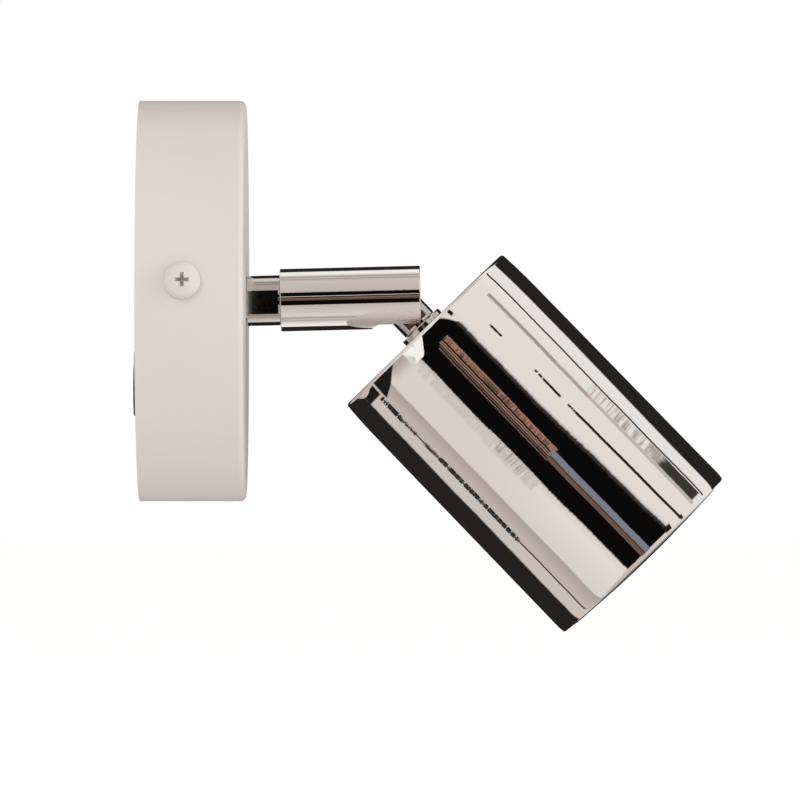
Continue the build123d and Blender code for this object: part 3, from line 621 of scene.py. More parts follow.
class Finishes:
    """Makes each finish once for each place it is used in."""

    def __init__(self) -> None:
        """Start with the shared groups and no materials."""
        self.effects = Effects()
        self.made: dict[tuple[str, Vector], bpy.types.Material] = {}

    def paint(self, piece: bpy.types.Object, tone: Tone, place: Place) -> None:
        """Give a piece a finish.

        Args:
            piece: a mesh of the object.
            tone: which finish.
            place: the frame whose axis the marks follow.
        """
        key = (tone.name, place.origin.copy().freeze())
        if key not in self.made:
            self.made[key] = tone.value.make(place, self.effects)
        piece.data.materials.clear()
        piece.data.materials.append(self.made[key])

    def dress_nodes(self) -> None:
        """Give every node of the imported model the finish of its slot."""
        bodies = frame["record"]["behaviour"]["bodies"]
        body_of = {node: body for body, nodes in bodies.items() for node in nodes}
        for part in frame["record"]["subparts"]:
            node = part["node"]
            self.paint(frame["nodes"][node], Tone[part["material_slot"]], PLACES[body_of[node]])


# ------------------------------------------------------------------------------- bench
Profile = list[tuple[float, float]]
POLE = 0.0005
MERGE = 0.002


def held(profile: Profile, reach: float = 0.25) -> Profile:
    """A profile with a point beside each end of its long runs, so that smooth shading stays true on them.

    Args:
        profile: places along the axis and radii.
        reach: how far from its ends a run gets its points.

    Returns:
        The profile with those points.
    """
    full = [profile[0]]
    for (x0, r0), (x1, r1) in zip(profile, profile[1:]):
        run = math.hypot(x1 - x0, r1 - r0)
        if run > 4 * reach:
            share = reach / run
            full += [(x0 + (x1 - x0) * part, r0 + (r1 - r0) * part) for part in (share, 1.0 - share)]
        full.append((x1, r1))
    return full


def arc(middle: tuple[float, float], radius: float, start: float, end: float, steps: int = 8) -> Profile:
    """Points on an arc of a profile.

    Args:
        middle: the arc's centre, along the axis and out from it.
        radius: the arc's radius.
        start: the angle of its first point, in degrees from the axis.
        end: the angle of its last point.
        steps: how many runs it is cut into.

    Returns:
        The points, first and last among them.
    """
    turns = [math.radians(start + (end - start) * step / steps) for step in range(steps + 1)]
    return [(middle[0] + radius * math.cos(turn), middle[1] + radius * math.sin(turn)) for turn in turns]


class Bench:
    """Modelling steps that the pieces share, in a sub-assembly's own millimetres."""

    @staticmethod
    def start(name: str) -> bpy.types.Object:
        """Name the primitive that was just added and open it for editing.

        Args:
            name: the piece's name.

        Returns:
            The piece, in edit mode with all of it selected.
        """
        piece = bpy.context.object
        piece.name = piece.data.name = name
        bpy.ops.object.transform_apply(location=True, rotation=True, scale=True)
        bpy.ops.object.mode_set(mode="EDIT")
        bpy.ops.mesh.select_all(action="SELECT")
        return piece

    @staticmethod
    def close_up(piece: bpy.types.Object, smooth: float) -> bpy.types.Object:
        """Merge doubles, point the faces outwards and shade the piece.

        Args:
            piece: the piece, in edit mode.
            smooth: the angle, in degrees, up to which neighbouring faces are shaded as one.

        Returns:
            The piece, in object mode.
        """
        bpy.ops.mesh.select_all(action="SELECT")
        bpy.ops.mesh.remove_doubles(threshold=MERGE)
        bpy.ops.mesh.normals_make_consistent(inside=False)
        bpy.ops.object.mode_set(mode="OBJECT")
        bpy.ops.object.shade_smooth_by_angle(angle=math.radians(smooth))
        return piece

    @classmethod
    def turned(cls, name: str, profile: Profile, segments: int = 192, smooth: float = 30.0,
               centre: tuple[float, float] = (0.0, 0.0)) -> bpy.types.Object:
        """Turn a piece about X: a circle is drawn out ring by ring along a profile.

        Args:
            name: the piece's name.
            profile: places along the axis and radii; a ring's profile ends where it starts.
            segments: how many sides the circle has.
            smooth: the shading angle.
            centre: where the axis lies, across and up.

        Returns:
            The turned piece.
        """
        bpy.ops.object.select_all(action="DESELECT")
        across, up = centre
        place, radius = profile[0]
        bpy.ops.mesh.primitive_circle_add(vertices=segments, radius=radius, location=(place, across, up),
                                          rotation=(0.0, math.pi / 2, 0.0))
        piece = cls.start(name)
        for (x0, r0), (x1, r1) in zip(profile, profile[1:]):
            bpy.ops.mesh.extrude_region_move(TRANSFORM_OT_translate={"value": (x1 - x0, 0.0, 0.0)})
            bpy.ops.transform.resize(value=(1.0, r1 / r0, r1 / r0), center_override=(x1, across, up))
        return cls.close_up(piece, smooth)

    @classmethod
    def block(cls, name: str, low: Vector, high: Vector) -> bpy.types.Object:
        """Make a box, as a start for a cutter.

        Args:
            name: the box's name.
            low: its lowest corner.
            high: its highest corner.

        Returns:
            The box, in object mode.
        """
        bpy.ops.object.select_all(action="DESELECT")
        bpy.ops.mesh.primitive_cube_add(size=1.0, location=(low + high) / 2, scale=high - low)
        cls.start(name)
        bpy.ops.object.mode_set(mode="OBJECT")
        return bpy.context.object

    @staticmethod
    def narrow(cutter: bpy.types.Object, at: float, factor: float) -> None:
        """Draw in one end of a cutter.

        Args:
            cutter: the cutter.
            at: the end's place along X.
            factor: how much of its size the end keeps.
        """
        bpy.ops.object.mode_set(mode="EDIT")
        bpy.ops.mesh.select_all(action="DESELECT")
        bpy.ops.object.mode_set(mode="OBJECT")
        for corner in cutter.data.vertices:
            corner.select = abs(corner.co.x - at) < 1e-4
        bpy.ops.object.mode_set(mode="EDIT")
        middle = sum((c.co for c in cutter.data.vertices), Vector()) / len(cutter.data.vertices)
        bpy.ops.transform.resize(value=(1.0, factor, factor), center_override=(at, middle.y, middle.z))
        bpy.ops.object.mode_set(mode="OBJECT")

    @staticmethod
    def cut(piece: bpy.types.Object, cutters: Iterable[bpy.types.Object], smooth: float) -> None:
        """Take cutters out of a piece and throw them away.

        Args:
            piece: the piece.
            cutters: the shapes to take out.
            smooth: the shading angle; the many-sided faces that the cuts leave are shaded flat.
        """
        for cutter in cutters:
            bpy.ops.object.select_all(action="DESELECT")
            bpy.context.view_layer.objects.active = piece
            piece.select_set(True)
            modifier = piece.modifiers.new("cut", "BOOLEAN")
            modifier.operation, modifier.solver, modifier.object = "DIFFERENCE", "EXACT", cutter
            bpy.ops.object.modifier_apply(modifier=modifier.name)
            bpy.data.objects.remove(cutter)
        bpy.ops.object.shade_smooth_by_angle(angle=math.radians(smooth))
        for face in piece.data.polygons:
            face.use_smooth = face.use_smooth and len(face.vertices) <= 4


@dataclass(frozen=True)
class Assembly:
    """A group of pieces that are modelled in one place and ride on one body."""

    finishes: Finishes

    def fit(self, piece: bpy.types.Object, place: Place, body: str, tone: Tone, node: str) -> None:
        """Put a finished piece in the model: metres, body, the node that it stands for, and finish.

        Args:
            piece: the piece, in its sub-assembly's own millimetres.
            place: where the sub-assembly stands.
            body: the body that the piece rides on.
            tone: its finish.
            node: the node that it replaces.
        """
        piece.data.transform(place.matrix)
        piece.data.update()
        self.finishes.paint(piece, tone, place)
        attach(piece, body)
        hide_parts(node)
        LOG.info("%s rides on %s with %d faces", piece.name, body, len(piece.data.polygons))


# ---------------------------------------------------------------------- rose fittings
@dataclass(frozen=True)
class RoseFittings(Assembly):
    """The rose's painted side screws and the rubber grommet behind it.

    Attributes:
        reach: how far from the wall the screws stand.
        turn: how far below level they lie, in degrees.
        pitch, root, crest: the thread's pitch, and its lowest and highest radius as shares.
        runout: the plain shank under the head.
        shoulder, edge: the radius round the head's side, and the height of the side's straight part.
        drive, drive_depth, blade_share, drive_taper: the cross recess's width and depth, the half
            width of a blade as a share, and how much of its size is left at the floor.
        bulge: how far the grommet stands behind the rose.
    """

    rose_radius: float = 50.0
    reach: float = 11.7
    turn: float = 5.2
    head_radius: float = 4.5
    head_height: float = 2.9
    thread_radius: float = 2.0
    length: float = 8.0
    pitch: float = 0.7
    root: float = 0.8
    crest: float = 0.99
    runout: float = 1.2
    shoulder: float = 1.15
    edge: float = 0.55
    chamfer: float = 0.12
    drive: float = 4.2
    drive_depth: float = 2.3
    blade_share: float = 0.13
    drive_taper: float = 0.4
    grommet_drop: float = 22.0
    flange_radius: float = 7.5
    neck_radius: float = 5.98
    grommet_wall: float = 1.4
    bulge: float = 1.5

    def build(self) -> None:
        """Model and place both screws and the grommet."""
        lean = math.radians(self.turn)
        for side, name in ((-1.0, "side_screw_near"), (1.0, "side_screw_far")):
            way = Vector((0.0, side * math.cos(lean), -side * math.sin(lean)))
            foot = Vector((self.reach, 0.0, 0.0)) + way * self.rose_radius
            self.fit(self.screw(name), Place(foot * MM, way), "rose", Tone.white_paint, "side_screws")
        below = Place(Vector((0.0, 0.0, -self.grommet_drop * MM)), WALL.axis)
        self.fit(self.grommet(), below, "rose", Tone.black_rubber, "cable_grommet")

    def screw(self, name: str) -> bpy.types.Object:
        """Turn a pan-head screw along X with rolled threads, and cut its tapered cross recess.

        Args:
            name: the screw's name.

        Returns:
            The screw, with the seat of its head at 0.
        """
        head, thread, top = self.head_radius, self.thread_radius, self.head_height
        low, high = self.root * thread, self.crest * thread
        profile: Profile = [(-self.length, POLE), (-self.length, 0.6 * thread), (-self.length + 0.5, low)]
        place = -self.length + 0.6
        while place < -self.runout - 0.5:
            profile += [(place, low), (place + 0.30, high), (place + 0.40, high)]
            place += self.pitch
        profile += [(-self.runout, 0.82 * thread), (-self.runout + 0.3, thread), (0.0, thread)]
        profile += [(0.0, head - self.chamfer), (self.chamfer, head), (self.edge, head)]
        profile += arc((self.edge, head - self.shoulder), self.shoulder, 90.0, 38.0, 10)[1:]
        rise, radius = profile[-1]
        for step in range(1, 9):
            angle = math.radians(10 * step)
            profile.append((rise + (top - rise) * math.sin(angle), radius * math.cos(angle)))
        piece = Bench.turned(name, profile + [(top, POLE)], 96, 35.0)
        half, wide = self.drive / 2, self.blade_share * self.drive
        floor = top - self.drive_depth
        blades = []
        for across, up in ((half, wide), (wide, half)):
            blade = Bench.block("blade", Vector((floor, -across, -up)), Vector((top + 0.4, across, up)))
            Bench.narrow(blade, floor, self.drive_taper)
            blades.append(blade)
        Bench.cut(piece, blades, 35.0)
        return piece

    def grommet(self) -> bpy.types.Object:
        """Turn the grommet's flange, neck, lip and skin, all with soft edges.

        Returns:
            The grommet, with the plate's outside at 0.
        """
        rim, neck, back = self.flange_radius, self.neck_radius, -self.bulge
        inner = neck - self.grommet_wall
        profile = [(back + 0.8, POLE), (back + 0.8, inner - 0.5), (back + 0.55, inner - 0.1)]
        profile += arc((back + 0.7, rim - 1.35), 0.7, 180.0, 120.0, 5)
        profile += arc((back + 1.3, rim - 1.28), 1.28, 125.0, 92.0, 6)
        profile += [(-0.12, rim), (-0.02, rim - 0.12), (-0.02, neck), (1.52, neck), (1.52, rim - 0.3)]
        profile += [(1.75, rim), (2.1, rim), (3.1, neck + 0.3), (3.12, inner)]
        profile += [(0.4, inner), (0.1, inner - 0.3), (0.1, POLE)]
        return Bench.turned("grommet", held(profile), 96, 40.0)


# --------------------------------------------------------------------------- the swivel
@dataclass(frozen=True)
class Swivel(Assembly):
    """The turned stud between the rose and the arm's tube.

    Attributes:
        tail, start, end, spigot_end: places of the threaded tail, the collar and the spigot.
        collar, thread, bore: radii; thread_depth, pitch: those of the tail's thread.
        groove, groove_depth: the place of the fine groove's middle, and its depth.
        flat, flat_end, flat_turn: the spanner flats' distance from the axis, their end, and how
            far they are turned from upright, in degrees.
        stock: how far out the cutters of the flats reach.
    """

    tail: float = -12.0
    start: float = 0.205
    end: float = 8.55
    spigot_end: float = 15.55
    collar: float = 6.25
    thread: float = 5.0
    bore: float = 3.1
    thread_depth: float = 0.35
    pitch: float = 0.75
    chamfer: float = 0.6
    groove: float = 1.15
    groove_depth: float = 0.10
    stock: float = 8.0
    flat: float = 5.5
    flat_end: float = 8.05
    flat_turn: float = 5.0

    def build(self) -> None:
        """Model and place the stud."""
        self.fit(self.stud(), ARM, "arm", Tone.nickel, "swivel_stud")

    def stud(self) -> bpy.types.Object:
        """Turn the stud and cut its flats.

        Returns:
            The stud: threaded tail, grooved collar with two spanner flats and spigot, bored through.
        """
        thread, collar, groove = self.thread, self.collar, self.groove
        profile: Profile = [(self.tail, self.bore), (self.tail, thread - self.chamfer),
                            (self.tail + self.chamfer, thread)]
        place = self.tail + 0.7
        while place < -0.9:
            profile += [(place, thread), (place + 0.22, thread - self.thread_depth), (place + 0.44, thread)]
            place += self.pitch
        profile += [(self.start, thread), (self.start, collar - 0.12), (self.start + 0.12, collar)]
        profile += [(groove - 0.12, collar), (groove - 0.07, collar - self.groove_depth)]
        profile += [(groove + 0.07, collar - self.groove_depth), (groove + 0.12, collar)]
        profile += [(self.end - 0.15, collar), (self.end, collar - 0.15), (self.end, thread)]
        profile += [(self.spigot_end - self.chamfer, thread), (self.spigot_end, thread - self.chamfer)]
        profile += [(self.spigot_end, self.bore), (self.tail, self.bore)]
        piece = Bench.turned("stud", held(profile), 192, 20.0)
        cutters = []
        for side in (-1.0, 1.0):
            near, far = sorted((side * self.flat, side * self.stock))
            cutter = Bench.block("flat", Vector((self.start - 0.2, near, -self.stock)),
                                 Vector((self.flat_end, far, self.stock)))
            cutter.data.transform(Matrix.Rotation(math.radians(self.flat_turn), 4, "X"))
            cutters.append(cutter)
        Bench.cut(piece, cutters, 20.0)
        return piece


# ----------------------------------------------------------------------------- the lamp
@dataclass(frozen=True)
class Lamp(Assembly):
    """The reflector lamp: faceted reflector, crimped ring, pressed front glass, capsule and filament.

    Attributes:
        rim, ring_start, glass_seat: places of the ring's front and back and of the glass's back.
        crown: how far the glass rises in its middle.
        neck_start, bowl_start: places of the reflector's neck and of the bowl's start.
        facets, rows, row_growth: the facets round the bowl, its rows, and how fast they grow.
        press_rings, press_depth, press_width: the rings pressed into the glass's back.
        wire, coil_radius, coil_start, coil_pitch, coil_turns: the filament's.
    """

    rim: float = 90.1
    ring_start: float = 87.1
    ring_radius: float = 25.0
    glass_radius: float = 23.28
    glass_seat: float = 89.12
    crown: float = 0.9
    neck_start: float = 55.2
    bowl_start: float = 58.2
    neck_radius: float = 11.0
    bowl_radius: float = 23.9
    bowl_wall: float = 1.2
    facets: int = 36
    rows: int = 10
    row_growth: float = 1.3
    lip_depth: float = 1.2
    lip_clearance: float = 0.04
    ring_round: float = 0.9
    press_rings: int = 6
    press_start: float = 4.6
    press_step: float = 3.0
    press_width: float = 1.2
    press_depth: float = 0.14
    bulb_radius: float = 4.5
    bulb_end: float = 74.2
    wire: float = 0.11
    coil_radius: float = 0.75
    coil_start: float = 62.6
    coil_pitch: float = 0.5
    coil_turns: int = 12
    support_foot: float = 56.0
    support_radius: float = 0.2

    def build(self) -> None:
        """Model and place every piece of the lamp that shows."""
        for piece, tone, node in ((self.reflector(), Tone.reflector_coat, "lamp_reflector"),
                                  (self.ring(), Tone.bezel_grey, "lamp_bezel"),
                                  (self.front_glass(), Tone.clear_glass, "lamp_lens"),
                                  (self.bulb(), Tone.clear_glass, "lamp_capsule"),
                                  (self.filament(), Tone.spring_steel, "lamp_capsule")):
            self.fit(piece, HEAD, "lamp", tone, node)

    def bowl(self, inset: float) -> Profile:
        """Draw the parabola from the neck to the ring.

        Args:
            inset: how far inside the bowl's outside it runs.

        Returns:
            Its points, one for each row of facets and one more.
        """
        depth = self.ring_start - self.bowl_start
        opening = (self.bowl_radius ** 2 - self.neck_radius ** 2) / depth
        steps = [depth * (row / self.rows) ** self.row_growth for row in range(self.rows + 1)]
        return [(self.bowl_start + step, math.sqrt(self.neck_radius ** 2 + opening * step) - inset)
                for step in steps]

    def reflector(self) -> bpy.types.Object:
        """Turn the reflector of pressed glass with few sides, so that it has rows of flat facets.

        Returns:
            The reflector.
        """
        outside, inside = self.bowl(0.0), self.bowl(self.bowl_wall)
        profile = [(self.neck_start, self.neck_radius)] + outside + inside[::-1]
        profile += [(self.neck_start, self.neck_radius - self.bowl_wall), (self.neck_start, self.neck_radius)]
        return Bench.turned("reflector", profile, self.facets, 2.0)

    def ring(self) -> bpy.types.Object:
        """Turn the ring crimped over the front glass, with a fine groove round it.

        Returns:
            The ring.
        """
        start, rim, outer, rounding = self.ring_start, self.rim, self.ring_radius, self.ring_round
        lip, seat = self.glass_radius + self.lip_clearance, self.glass_seat - 0.03
        inner = lip - self.lip_depth
        profile = [(start, inner), (start, outer - 0.2), (start + 0.2, outer)]
        profile += [(start + 0.9, outer), (start + 1.0, outer - 0.12)]
        profile += [(start + 1.2, outer - 0.12), (start + 1.3, outer)]
        profile += arc((rim - rounding, outer - rounding), rounding, 90.0, 0.0, 10)
        profile += [(rim, lip + 0.25), (rim - 0.12, lip + 0.03), (rim - 0.4, lip)]
        profile += [(seat, lip), (seat, inner), (start, inner)]
        return Bench.turned("crimped_ring", held(profile, 0.2), 192, 35.0)

    def front_glass(self) -> bpy.types.Object:
        """Turn the crowned front glass with shallow rings pressed into its back.

        Returns:
            The glass.
        """
        edge, back = self.glass_radius, self.glass_seat
        profile: Profile = [(back + 0.25, POLE), (back + 0.25, 2.6), (back, 3.2)]
        for ring in range(self.press_rings):
            middle = self.press_start + self.press_step * ring
            profile += [(back, middle - self.press_width), (back + self.press_depth, middle),
                        (back, middle + self.press_width)]
        profile += [(back, edge - 0.25), (back + 0.2, edge), (self.rim - 0.25, edge)]
        for step in range(12):
            radius = (edge - 0.2) * (1.0 - step / 12.0)
            profile.append((self.rim + self.crown * (1.0 - (radius / edge) ** 2), radius))
        profile.append((self.rim + self.crown, POLE))
        return Bench.turned("front_glass", profile, 144, 35.0)

    def bulb(self) -> bpy.types.Object:
        """Turn the quartz envelope: pinched foot, straight wall, domed end with its sealing tip.

        Returns:
            The envelope.
        """
        radius, end = self.bulb_radius, self.bulb_end
        outside = [(end, POLE), (end - 0.15, 0.45), (end - 0.6, 0.75), (end - 1.0, 1.3)]
        for turn in range(20, 91, 10):
            angle = math.radians(turn)
            outside.append((end - 4.9 + 3.9 * math.cos(angle), radius * math.sin(angle)))
        outside += [(60.5, radius), (59.3, radius - 0.25), (58.0, 3.3), (self.neck_start, 3.2)]
        inside = [(self.neck_start, 2.3), (58.3, 2.4), (59.8, radius - 1.0), (60.8, radius - 0.8)]
        for turn in range(90, 19, -10):
            angle = math.radians(turn)
            inside.append((end - 4.9 + 3.1 * math.cos(angle), (radius - 0.8) * math.sin(angle)))
        inside.append((end - 1.75, POLE))
        return Bench.turned("bulb", outside + inside, 64, 40.0)

    def filament(self) -> bpy.types.Object:
        """Wind a wire along the axis and stand it on its two supports.

        Returns:
            The filament.
        """
        bpy.ops.object.select_all(action="DESELECT")
        bpy.ops.mesh.primitive_circle_add(vertices=8, radius=self.wire, rotation=(math.pi / 2, 0.0, 0.0),
                                          location=(self.coil_start, 0.0, self.coil_radius))
        coil = Bench.start("filament")
        bpy.ops.object.mode_set(mode="OBJECT")
        wind = coil.modifiers.new("wind", "SCREW")
        wind.axis, wind.screw_offset, wind.iterations = "X", self.coil_pitch, self.coil_turns
        wind.steps = wind.render_steps = 14
        bpy.ops.object.modifier_apply(modifier=wind.name)
        foot, radius = self.support_foot, self.support_radius
        rods = []
        for low, high, up in ((foot, self.coil_start, self.coil_radius), (foot, 68.4, -1.3),
                              (68.2, 68.7, -0.9)):
            profile = [(low, POLE), (low, radius), (high, radius), (high, POLE)]
            rods.append(Bench.turned("support", profile, 12, 50.0, (0.0, up)))
        bpy.ops.object.select_all(action="DESELECT")
        for piece in (*rods, coil):
            piece.select_set(True)
        bpy.context.view_layer.objects.active = coil
        bpy.ops.object.join()
        bpy.ops.object.mode_set(mode="EDIT")
        return Bench.close_up(coil, 50.0)


# ------------------------------------------------------------------------------- studio
DEEP: Colour = (0.0035, 0.0030, 0.0030)
FLAG: Colour = (0.0200, 0.0165, 0.0160)
SOOT: Colour = (0.0160, 0.0125, 0.0110)
PEAT: Colour = (0.048, 0.040, 0.036)
BARK: Colour = (0.165, 0.098, 0.080)
RUST: Colour = (0.370, 0.200, 0.140)
SLATE: Colour = (0.215, 0.225, 0.280)
TAUPE: Colour = (0.450, 0.385, 0.360)
CLAY: Colour = (0.570, 0.500, 0.460)
ASH: Colour = (0.380, 0.335, 0.310)
SHADE: Colour = (0.650, 0.590, 0.550)
LINEN: Colour = (0.760, 0.700, 0.680)
CREAM: Colour = (0.850, 0.790, 0.745)
PEARL: Colour = (0.870, 0.840, 0.815)
SNOW: Colour = (0.980, 0.970, 0.960)

UMBER: Colour = (0.075, 0.040, 0.030)
WHITE: Colour = (1.0, 1.0, 1.0)

TO_LENS = (0.0, -1.0, 0.0)
FULL_TURN = 360.0
Band = tuple[float, Colour]
SideBand = tuple[float, float, Colour, Colour]
Zone = tuple[float, float, float]


@dataclass(frozen=True)
class Mark:
    """A streak that the head's side mirrors.

    Attributes:
        low: the angle where it starts, in degrees over the way to the lens, at the head's rear.
        high: the angle where it ends.
        start: where it starts along the head, from 0 at its rear to 1 at its mouth.
        end: where it ends.
        colour: its colour.
        cover: how much of it shows between the fine gaps that cross it; 2 is all of it.
        rise: how many degrees it climbs from 0 to 1.
        soft: how far its lower edge fades, in degrees.
        fade: how far its ends fade.
        lean: how much further its ends lie for each degree.
    """

    low: float
    high: float
    start: float
    end: float
    colour: Colour
    cover: float = 2.0
    rise: float = 0.0
    soft: float = 0.5
    fade: float = 0.004
    lean: float = 0.0


@dataclass(frozen=True)
class Tent:
    """The light tent that polished metal mirrors, by angle from the way to the lens.

    The head's side mirrors one plane of the tent and the arm's tube another.  Colours between two
    bands are mixed.  A zone is its lowest value, its highest and a soft margin.

    Attributes:
        near_end, far_end, taper: how far a mirrored direction leans along the head's axis at the
            head's rear and at its mouth, and what the head's taper adds.
        rear_bend, lip_bend: where along the head its drawn-in ends start.
        rear_scale, lip_scale: how fast the place runs on in them.
        sway, fray: how far bands wander, and how deep their teeth are, in turns.
        most_shift: the most degrees that a band drifts from the head's rear to its mouth.
        head_zone, opening: where the head's side and the dark opening round the lens are seen.
        slit, flags: the dark strips in front of the tube and beside it, across.
        line_across, line_turn: the thin brown line over the tube.
        toothed, mark_edge: where bands have teeth, and how far a mark's upper edge fades, in turns.
        side_bands: angles at the head's rear and at its mouth, and the colours there.
        side_marks: the streaks on the bands.
        over_bands, under_bands: the tube's, above and below, by angle.
    """

    head_axis: Vector = field(default_factory=lambda: HEAD.axis.normalized())
    near_end: float = -0.0035
    far_end: float = 0.0296
    taper: float = 0.0076
    rear_bend: float = 0.14
    lip_bend: float = 0.972
    rear_scale: float = 0.0308
    lip_scale: float = 0.00204
    sway: float = 0.007
    fray: float = 0.007
    most_shift: float = 10.0
    head_zone: Zone = (-0.15, 0.28, 0.02)
    opening: Zone = (0.42, 0.615, 0.01)
    slit: Zone = (-0.09, 0.05, 0.02)
    flags: Zone = (-0.30, 0.30, 0.25)
    line_across: Zone = (-0.03, 0.012, 0.01)
    line_turn: Zone = (0.0222, 0.0290, 0.003)
    toothed: Zone = (0.40, 0.62, 0.02)
    mark_edge: float = 0.0014

    side_bands: tuple[SideBand, ...] = (
        (-180.0, -180.0, FLAG, FLAG), (-112.6, -112.8, FLAG, FLAG), (-110.6, -110.9, SHADE, SHADE),
        (-92.6, -92.6, SHADE, SHADE), (-90.2, -90.2, CLAY, CLAY), (-84.0, -84.0, CLAY, CLAY),
        (-69.0, -68.6, TAUPE, TAUPE), (-67.6, -67.2, LINEN, LINEN), (-31.0, -30.0, LINEN, CREAM),
        (-24.6, -22.0, CLAY, LINEN), (-23.9, -21.3, DEEP, DEEP), (28.0, 34.3, DEEP, DEEP),
        (28.6, 34.9, PEAT, PEAT), (29.6, 35.9, PEAT, PEAT), (30.2, 36.6, SOOT, SOOT),
        (31.9, 38.6, SOOT, SOOT), (32.6, 39.3, LINEN, LINEN), (37.0, 43.3, CREAM, CREAM),
        (46.0, 51.0, CREAM, CREAM), (72.0, 72.0, CREAM, CREAM),
        (98.0, 98.0, PEARL, PEARL), (122.0, 119.4, PEARL, PEARL), (123.8, 121.0, FLAG, FLAG),
        (180.0, 180.0, FLAG, FLAG),
    )
    side_marks: tuple[Mark, ...] = (
        Mark(77.9, 82.0, 0.062, 0.36, ASH), Mark(77.9, 82.0, 0.36, 0.52, TAUPE),
        Mark(77.9, 81.8, 0.52, 0.98, CLAY),
        Mark(99.5, 101.6, 0.008, 0.985, PEAT, rise=-1.0), Mark(83.0, 97.5, 0.50, 0.80, SHADE, 0.55, soft=2.0),
        Mark(83.0, 97.5, 0.50, 0.80, TAUPE, 0.32), Mark(82.6, 97.5, 0.76, 0.82, TAUPE, 0.8),
        Mark(82.4, 96.6, 0.815, 0.975, PEAT, 1.12), Mark(53.5, 55.6, 0.122, 0.202, SOOT, 0.75),
        Mark(53.4, 55.6, 0.34, 0.385, SOOT, 0.6), Mark(53.3, 55.7, 0.385, 0.448, SOOT, 1.0),
        Mark(53.5, 55.5, 0.487, 0.53, SOOT, 0.8), Mark(50.3, 52.9, 0.525, 0.985, SOOT, rise=5.4),
        Mark(6.6, 12.6, 0.066, 0.563, PEAT), Mark(6.8, 12.4, 0.066, 0.563, BARK, 0.85),
        Mark(6.8, 12.4, 0.066, 0.563, RUST, 0.42), Mark(11.2, 12.4, 0.066, 0.563, RUST, 0.8),
        Mark(1.5, 4.5, 0.066, 0.59, RUST, 1.0), Mark(2.8, 3.4, 0.066, 0.59, PEAT, 1.1),
        Mark(-0.9, 0.0, 0.072, 0.563, BARK, 0.9), Mark(-3.7, -2.6, 0.076, 0.563, BARK, 0.9),
        Mark(3.0, 9.0, 0.556, 0.99, SLATE, 1.15, rise=0.6), Mark(-2.4, 3.0, 0.563, 0.99, BARK, 0.9),
        Mark(1.9, 2.5, 0.563, 0.985, PEAT, 1.0), Mark(-34.0, -25.0, 0.08, 0.42, SHADE, 0.6, soft=5.0),
        Mark(-36.0, -23.8, 0.38, 0.60, SHADE, 0.75, soft=5.0),
        Mark(-33.0, -23.8, 0.42, 0.60, TAUPE, 0.3, soft=4.0), Mark(-95.0, -88.6, 0.062, 0.16, SOOT, 0.7),
        Mark(-94.4, -89.2, 0.16, 0.33, SOOT, 0.5), Mark(-94.4, -88.4, 0.33, 0.686, SOOT, 0.7),
        Mark(-92.5, -90.9, 0.066, 0.985, PEAT), Mark(-54.0, -36.0, -0.03, 0.03, TAUPE, soft=12.0, fade=0.035),
        Mark(-86.0, -42.0, -0.03, 0.070, SOOT, lean=-0.00115),
        Mark(-112.0, -90.0, 0.034, 0.050, SOOT), Mark(30.0, 33.5, 0.020, 0.040, SOOT),
        Mark(-4.0, 8.0, -0.03, 0.058, SNOW, rise=-480.0), Mark(-39.0, -22.0, -0.03, 0.024, SNOW, lean=0.002),
        Mark(-39.0, -12.0, -0.03, 0.024, SNOW),
        Mark(-92.0, 110.0, -0.03, 0.013, PEARL),
        Mark(35.0, 42.5, 0.979, 0.992, SOOT), Mark(57.2, 60.5, 0.982, 0.990, SOOT),
    )
    over_bands: tuple[Band, ...] = (
        (0.0, DEEP), (25.6, DEEP), (27.6, CLAY), (70.0, SHADE), (76.3, CLAY), (80.8, ASH), (85.9, SHADE),
        (91.0, ASH), (96.3, CLAY), (102.0, PEARL), (110.0, SNOW), (123.5, PEARL), (126.0, FLAG),
        (180.0, FLAG),
    )
    under_bands: tuple[Band, ...] = (
        (0.0, DEEP), (18.2, DEEP), (20.2, CLAY), (40.0, SHADE), (64.5, LINEN), (69.3, TAUPE), (73.9, TAUPE),
        (78.6, SHADE), (83.4, TAUPE), (88.5, SHADE), (93.7, LINEN), (100.0, PEARL), (116.5, SNOW),
        (119.5, FLAG), (180.0, FLAG),
    )

    def mirrored(self, graph: Graph) -> bpy.types.NodeSocket:
        """What a mirror sees in each direction.

        Args:
            graph: the world's graph.

        Returns:
            The colour socket.
        """
        way = graph.vector("NORMALIZE", graph.add("TexCoord").outputs["Generated"])
        front = graph.vector("DOT_PRODUCT", way, TO_LENS)
        along = graph.vector("DOT_PRODUCT", way, tuple(self.head_axis))
        room = self.arm_side(graph, way, front)
        return graph.blend(self.zone(graph, along, self.head_zone), room,
                           self.head_side(graph, way, front, along, room))

    @staticmethod
    def zone(graph: Graph, value: object, zone: Zone) -> bpy.types.NodeSocket:
        """Find whether a value is in a zone.

        Args:
            graph: the world's graph.
            value: the value.
            zone: the zone.

        Returns:
            1 in the zone, falling to 0 over its margin.
        """
        low, high, soft = zone
        rise, fall = graph.between(value, low - soft, low), graph.between(value, high, high + soft, 1.0, 0.0)
        return graph.math("MULTIPLY", rise, fall)

    @staticmethod
    def strip(graph: Graph, turn: object, bands: Iterable[Band], full: float,
              start: float) -> bpy.types.NodeSocket:
        """The colour at a share of a turn, from bands whose angles run from start over the full angle."""
        return graph.ramp(turn, [((angle - start) / full, colour) for angle, colour in bands])

